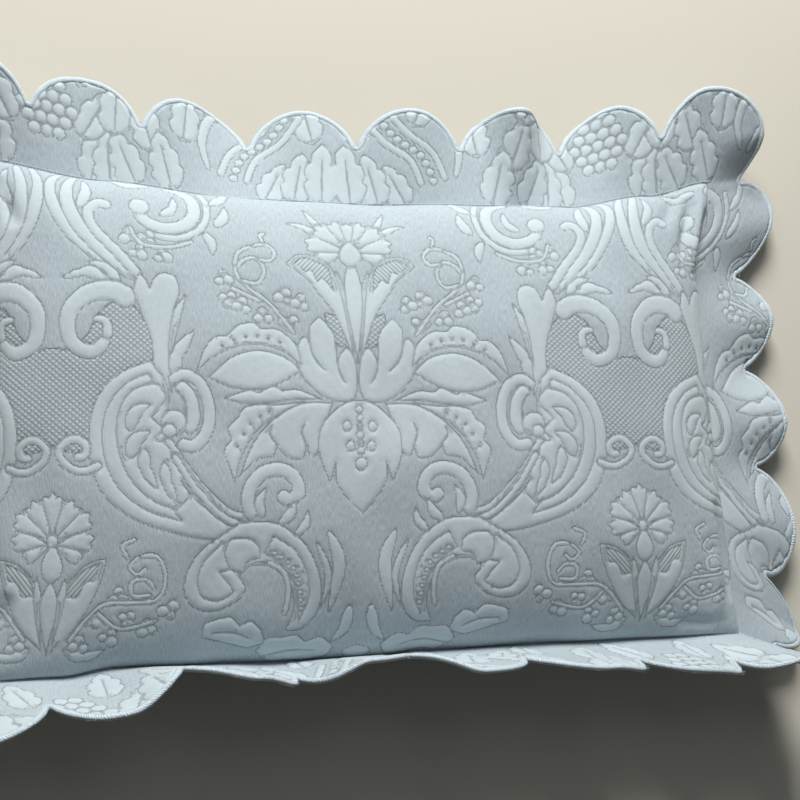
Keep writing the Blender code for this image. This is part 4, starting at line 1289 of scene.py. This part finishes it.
def satin_cord(name):
    """Satin thread wound close: a soft shine and fine slanting ridges. A pale ice blue rope, its colour
    darkened with painted shade in the gaps between its turns."""
    finish = bpy.data.materials.new(name)
    finish.use_nodes = True
    tree = finish.node_tree
    cord = tree.nodes["Principled BSDF"]
    laid = attribute(tree, "laid_out", "Vector")
    sides = add_node(tree, "ShaderNodeSeparateXYZ", {0: laid})
    wander = maths(tree, "MULTIPLY", noise(tree, laid, 3.0, 5.0, 2.0), 2.2)
    slant = maths(tree, "MULTIPLY_ADD", sides.outputs[1], 0.35, sides.outputs[0])
    turns = maths(tree, "ADD", maths(tree, "DIVIDE", slant, CORD_TURN * 1000), wander)
    ridge = maths(tree, "SINE", maths(tree, "MULTIPLY", turns, 2 * math.pi))
    # Painted shade in the gaps between the cord's turns, which darkens the colour below
    gaps = ranged(tree, ridge, -1.0, -0.3, 1.0, 0.0)
    fuzz = noise(tree, laid, 0.5, 0.9, 2.0)
    tone = maths(tree, "MULTIPLY", ranged(tree, gaps, 0.0, 1.0, 1.0, 0.72),
        ranged(tree, fuzz, 0.3, 0.7, 0.9, 1.08))
    tree.links.new(mixed(tree, 1.0, linear("#d8e7ef"), tone, "MULTIPLY"), cord.inputs["Base Color"])
    rise = maths(tree, "MULTIPLY_ADD", fuzz, 0.3, maths(tree, "MULTIPLY", ridge, 0.22))
    bump = add_node(tree, "ShaderNodeBump", {"Height": rise, "Strength": 1.0, "Distance": 0.001})
    tree.links.new(bump.outputs[0], cord.inputs["Normal"])
    cord.inputs["Roughness"].default_value = 0.6
    cord.inputs["Sheen Weight"].default_value = 0.35
    cord.inputs["Sheen Roughness"].default_value = 0.4
    cord.inputs["Specular IOR Level"].default_value = 0.35
    return finish


def edging():
    """The cord, and the threads that have worked loose from it, as one piece."""
    middle = scalloped(EDGING_WIDTH / 2, *CORD_STEPS)
    outer = scalloped(0, *CORD_STEPS)
    count = len(middle)
    run = np.concatenate([[0], np.cumsum(np.linalg.norm(np.diff(middle, axis=0), axis=1))])
    uneven = 1.12 + 0.09 * ripple(run, np.zeros(count), 0.011, 8)
    rings = []
    flat = []
    for turn in np.linspace(0, 2 * np.pi, CORD_SIDES, endpoint=False):
        s, t = (middle + (outer - middle) * (np.cos(turn) * uneven)[:, None]).T
        off = CORD_RISE * np.sin(turn) * uneven - FLANGE_THICKNESS / 2
        rings.append(place(s, t) + facing(s, t) * off[:, None])
        flat.append(np.stack([run, np.full(count, turn * EDGING_WIDTH / 2)], -1))
    number = np.arange(CORD_SIDES * count).reshape(CORD_SIDES, count)
    over, ahead = np.roll(number, -1, axis=0), np.roll(number, -1, axis=1)
    both = np.roll(over, -1, axis=1)
    faces = [np.stack([number, both, over], -1).reshape(-1, 3),
        np.stack([number, ahead, both], -1).reshape(-1, 3)]
    random = np.random.default_rng(21)
    root = random.integers(0, count, LOOSE_THREADS)
    outward = outer[root] - middle[root]
    outward /= np.linalg.norm(outward, axis=1)[:, None]
    lean = random.uniform(-LOOSE_LEAN, LOOSE_LEAN, (LOOSE_THREADS, 1))
    along = np.stack([-outward[:, 1], outward[:, 0]], -1) * lean
    length = random.uniform(*LOOSE_LENGTH, (LOOSE_THREADS, 1))
    lift = random.uniform(-0.8, 1.0, LOOSE_THREADS) * CORD_RISE
    paths = []
    for share in np.linspace(0, 1, LOOSE_STEPS):
        away = outward * (EDGING_WIDTH * 0.4 + length * share) + along * length * share**2
        s, t = (middle[root] + away).T
        paths.append(place(s, t) + facing(s, t) * (lift * (0.5 + share) - FLANGE_THICKNESS / 2)[:, None])
    loose, loose_faces = tubes(np.stack(paths, 1), [LOOSE_RADIUS] * LOOSE_STEPS, LOOSE_SIDES)
    points = np.concatenate(rings + [loose])
    faces = np.concatenate(faces + [loose_faces + CORD_SIDES * count])
    at_root = np.stack([run[root], np.zeros(LOOSE_THREADS)], -1)
    flat = np.concatenate(flat + [np.repeat(at_root, LOOSE_STEPS * LOOSE_SIDES, axis=0)])
    return make_cloth("edging", points, faces, flat, {}, satin_cord("satin_edging"))


cord = edging()
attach(cord, "root")
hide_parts("scallop_edging")


# The seam stitches: the row of machine stitches that joins both panels around the filling, in pale
# thread just outside the fold of the body.
STITCH_PITCH = 0.0033
STITCH_LENGTH = 0.0025
STITCH_RADIUS = 0.00042
STITCH_ROW_OUT = 0.0022
STITCH_THICKNESS = [0.45, 0.9, 1, 0.9, 0.45]
STITCH_SIDES = 5


def plain_finish(name, colour, roughness):
    """A finish of one colour: sewing thread, a little shiny, or the floor's matt paint."""
    finish = bpy.data.materials.new(name)
    finish.use_nodes = True
    finish.node_tree.nodes["Principled BSDF"].inputs["Base Color"].default_value = linear(colour)
    finish.node_tree.nodes["Principled BSDF"].inputs["Roughness"].default_value = roughness
    return finish


def seam_stitches():
    loop = rectangle(HALF_WIDTH + STITCH_ROW_OUT, HALF_HEIGHT + STITCH_ROW_OUT, STITCH_PITCH)
    ahead = np.roll(loop, -1, axis=0) - loop
    ahead /= np.linalg.norm(ahead, axis=1)[:, None]
    paths = []
    for share in np.linspace(-0.5, 0.5, len(STITCH_THICKNESS)):
        s, t = (loop + ahead * STITCH_LENGTH * share).T
        sunk = STITCH_RADIUS * (0.9 - 6 * share**2)
        paths.append(place(s, t) + facing(s, t) * (relief(s, t) + sunk)[:, None])
    radii = STITCH_RADIUS * np.array(STITCH_THICKNESS)
    points, faces = tubes(np.stack(paths, 1), radii, STITCH_SIDES)
    thread = plain_finish("sewing_thread", "#d3dbdd", 0.6)
    flat = np.repeat(loop, len(STITCH_THICKNESS) * STITCH_SIDES, axis=0)
    return make_cloth("seam_stitches", points, faces, flat, {}, thread)


stitches = seam_stitches()
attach(stitches, "root")


# The back panel: the same cloth with no pattern, since the back doesn't show in the photo. Its
# middle is flattened where the sham rests on the floor.
BACK_DROP = 0.062
BACK_SOFTNESS = 0.006
BACK_STEP = 0.006
NO_STITCHES = 9.0


def back_panel():
    seam = rectangle(HALF_WIDTH, HALF_HEIGHT, SEAM_STEP)
    across = np.arange(-HALF_WIDTH, HALF_WIDTH, BACK_STEP)
    up = np.arange(-HALF_HEIGHT, HALF_HEIGHT, BACK_STEP)
    loose = np.stack(np.meshgrid(across, up), -1).reshape(-1, 2)
    loose = loose[from_seam(*loose.T) > NEAR_SEAM]
    flat, faces = divided([seam], loose)
    s, t = flat.T
    points = place(s, t)
    height = SEAM_HEIGHT - BACK_DROP * crown(*body_place(s, t)) - FLANGE_THICKNESS
    soft = (height + BACK_SOFTNESS) ** 2 / (4 * BACK_SOFTNESS)
    height = np.where(height > BACK_SOFTNESS, height, np.where(height < -BACK_SOFTNESS, 0, soft))
    points[:, 2] = height
    values = {
        "stitch_depth": np.full(len(s), -NO_STITCHES),
        "stitch_away": np.full(len(s), NO_STITCHES),
    }
    return make_cloth("back_panel", points, faces[:, ::-1], flat, values, COTTON)


back = back_panel()
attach(back, "root")


# Lights and a plain floor, set so that the cloth is lit as in the photo
def add_light(name, place_at, aim, size, power, colour):
    data = bpy.data.lights.new(name, "AREA")
    data.shape = "SQUARE"
    data.size = size
    data.energy = power
    data.color = colour
    lamp = bpy.data.objects.new(name, data)
    lamp.location = place_at
    lamp.rotation_euler = (Vector(aim) - Vector(place_at)).to_track_quat("-Z", "Y").to_euler()
    bpy.context.collection.objects.link(lamp)


add_light("overhead", (-0.1, 2.3, 1.6), (0, 0, 0.05), 1.2, 108, (1.0, 0.995, 0.98))
add_light("fill", (0.3, 1.2, 2.4), (0, 0, 0.05), 1.6, 5, (0.95, 0.98, 1.0))
sky = bpy.data.worlds.new("room")
sky.use_nodes = True
sky.node_tree.nodes["Background"].inputs["Color"].default_value = (0.80, 0.86, 0.90, 1)
sky.node_tree.nodes["Background"].inputs["Strength"].default_value = 0.10
bpy.context.scene.world = sky
bpy.context.scene.view_settings.view_transform = "Standard"

mesh = bpy.data.meshes.new("floor")
mesh.from_pydata([(-6, -6, 0), (6, -6, 0), (6, 6, 0), (-6, 6, 0)], [], [(0, 1, 2, 3)])
floor = bpy.data.objects.new("floor", mesh)
bpy.context.collection.objects.link(floor)
mesh.materials.append(plain_finish("pale_floor", "#cfcabd", 0.9))
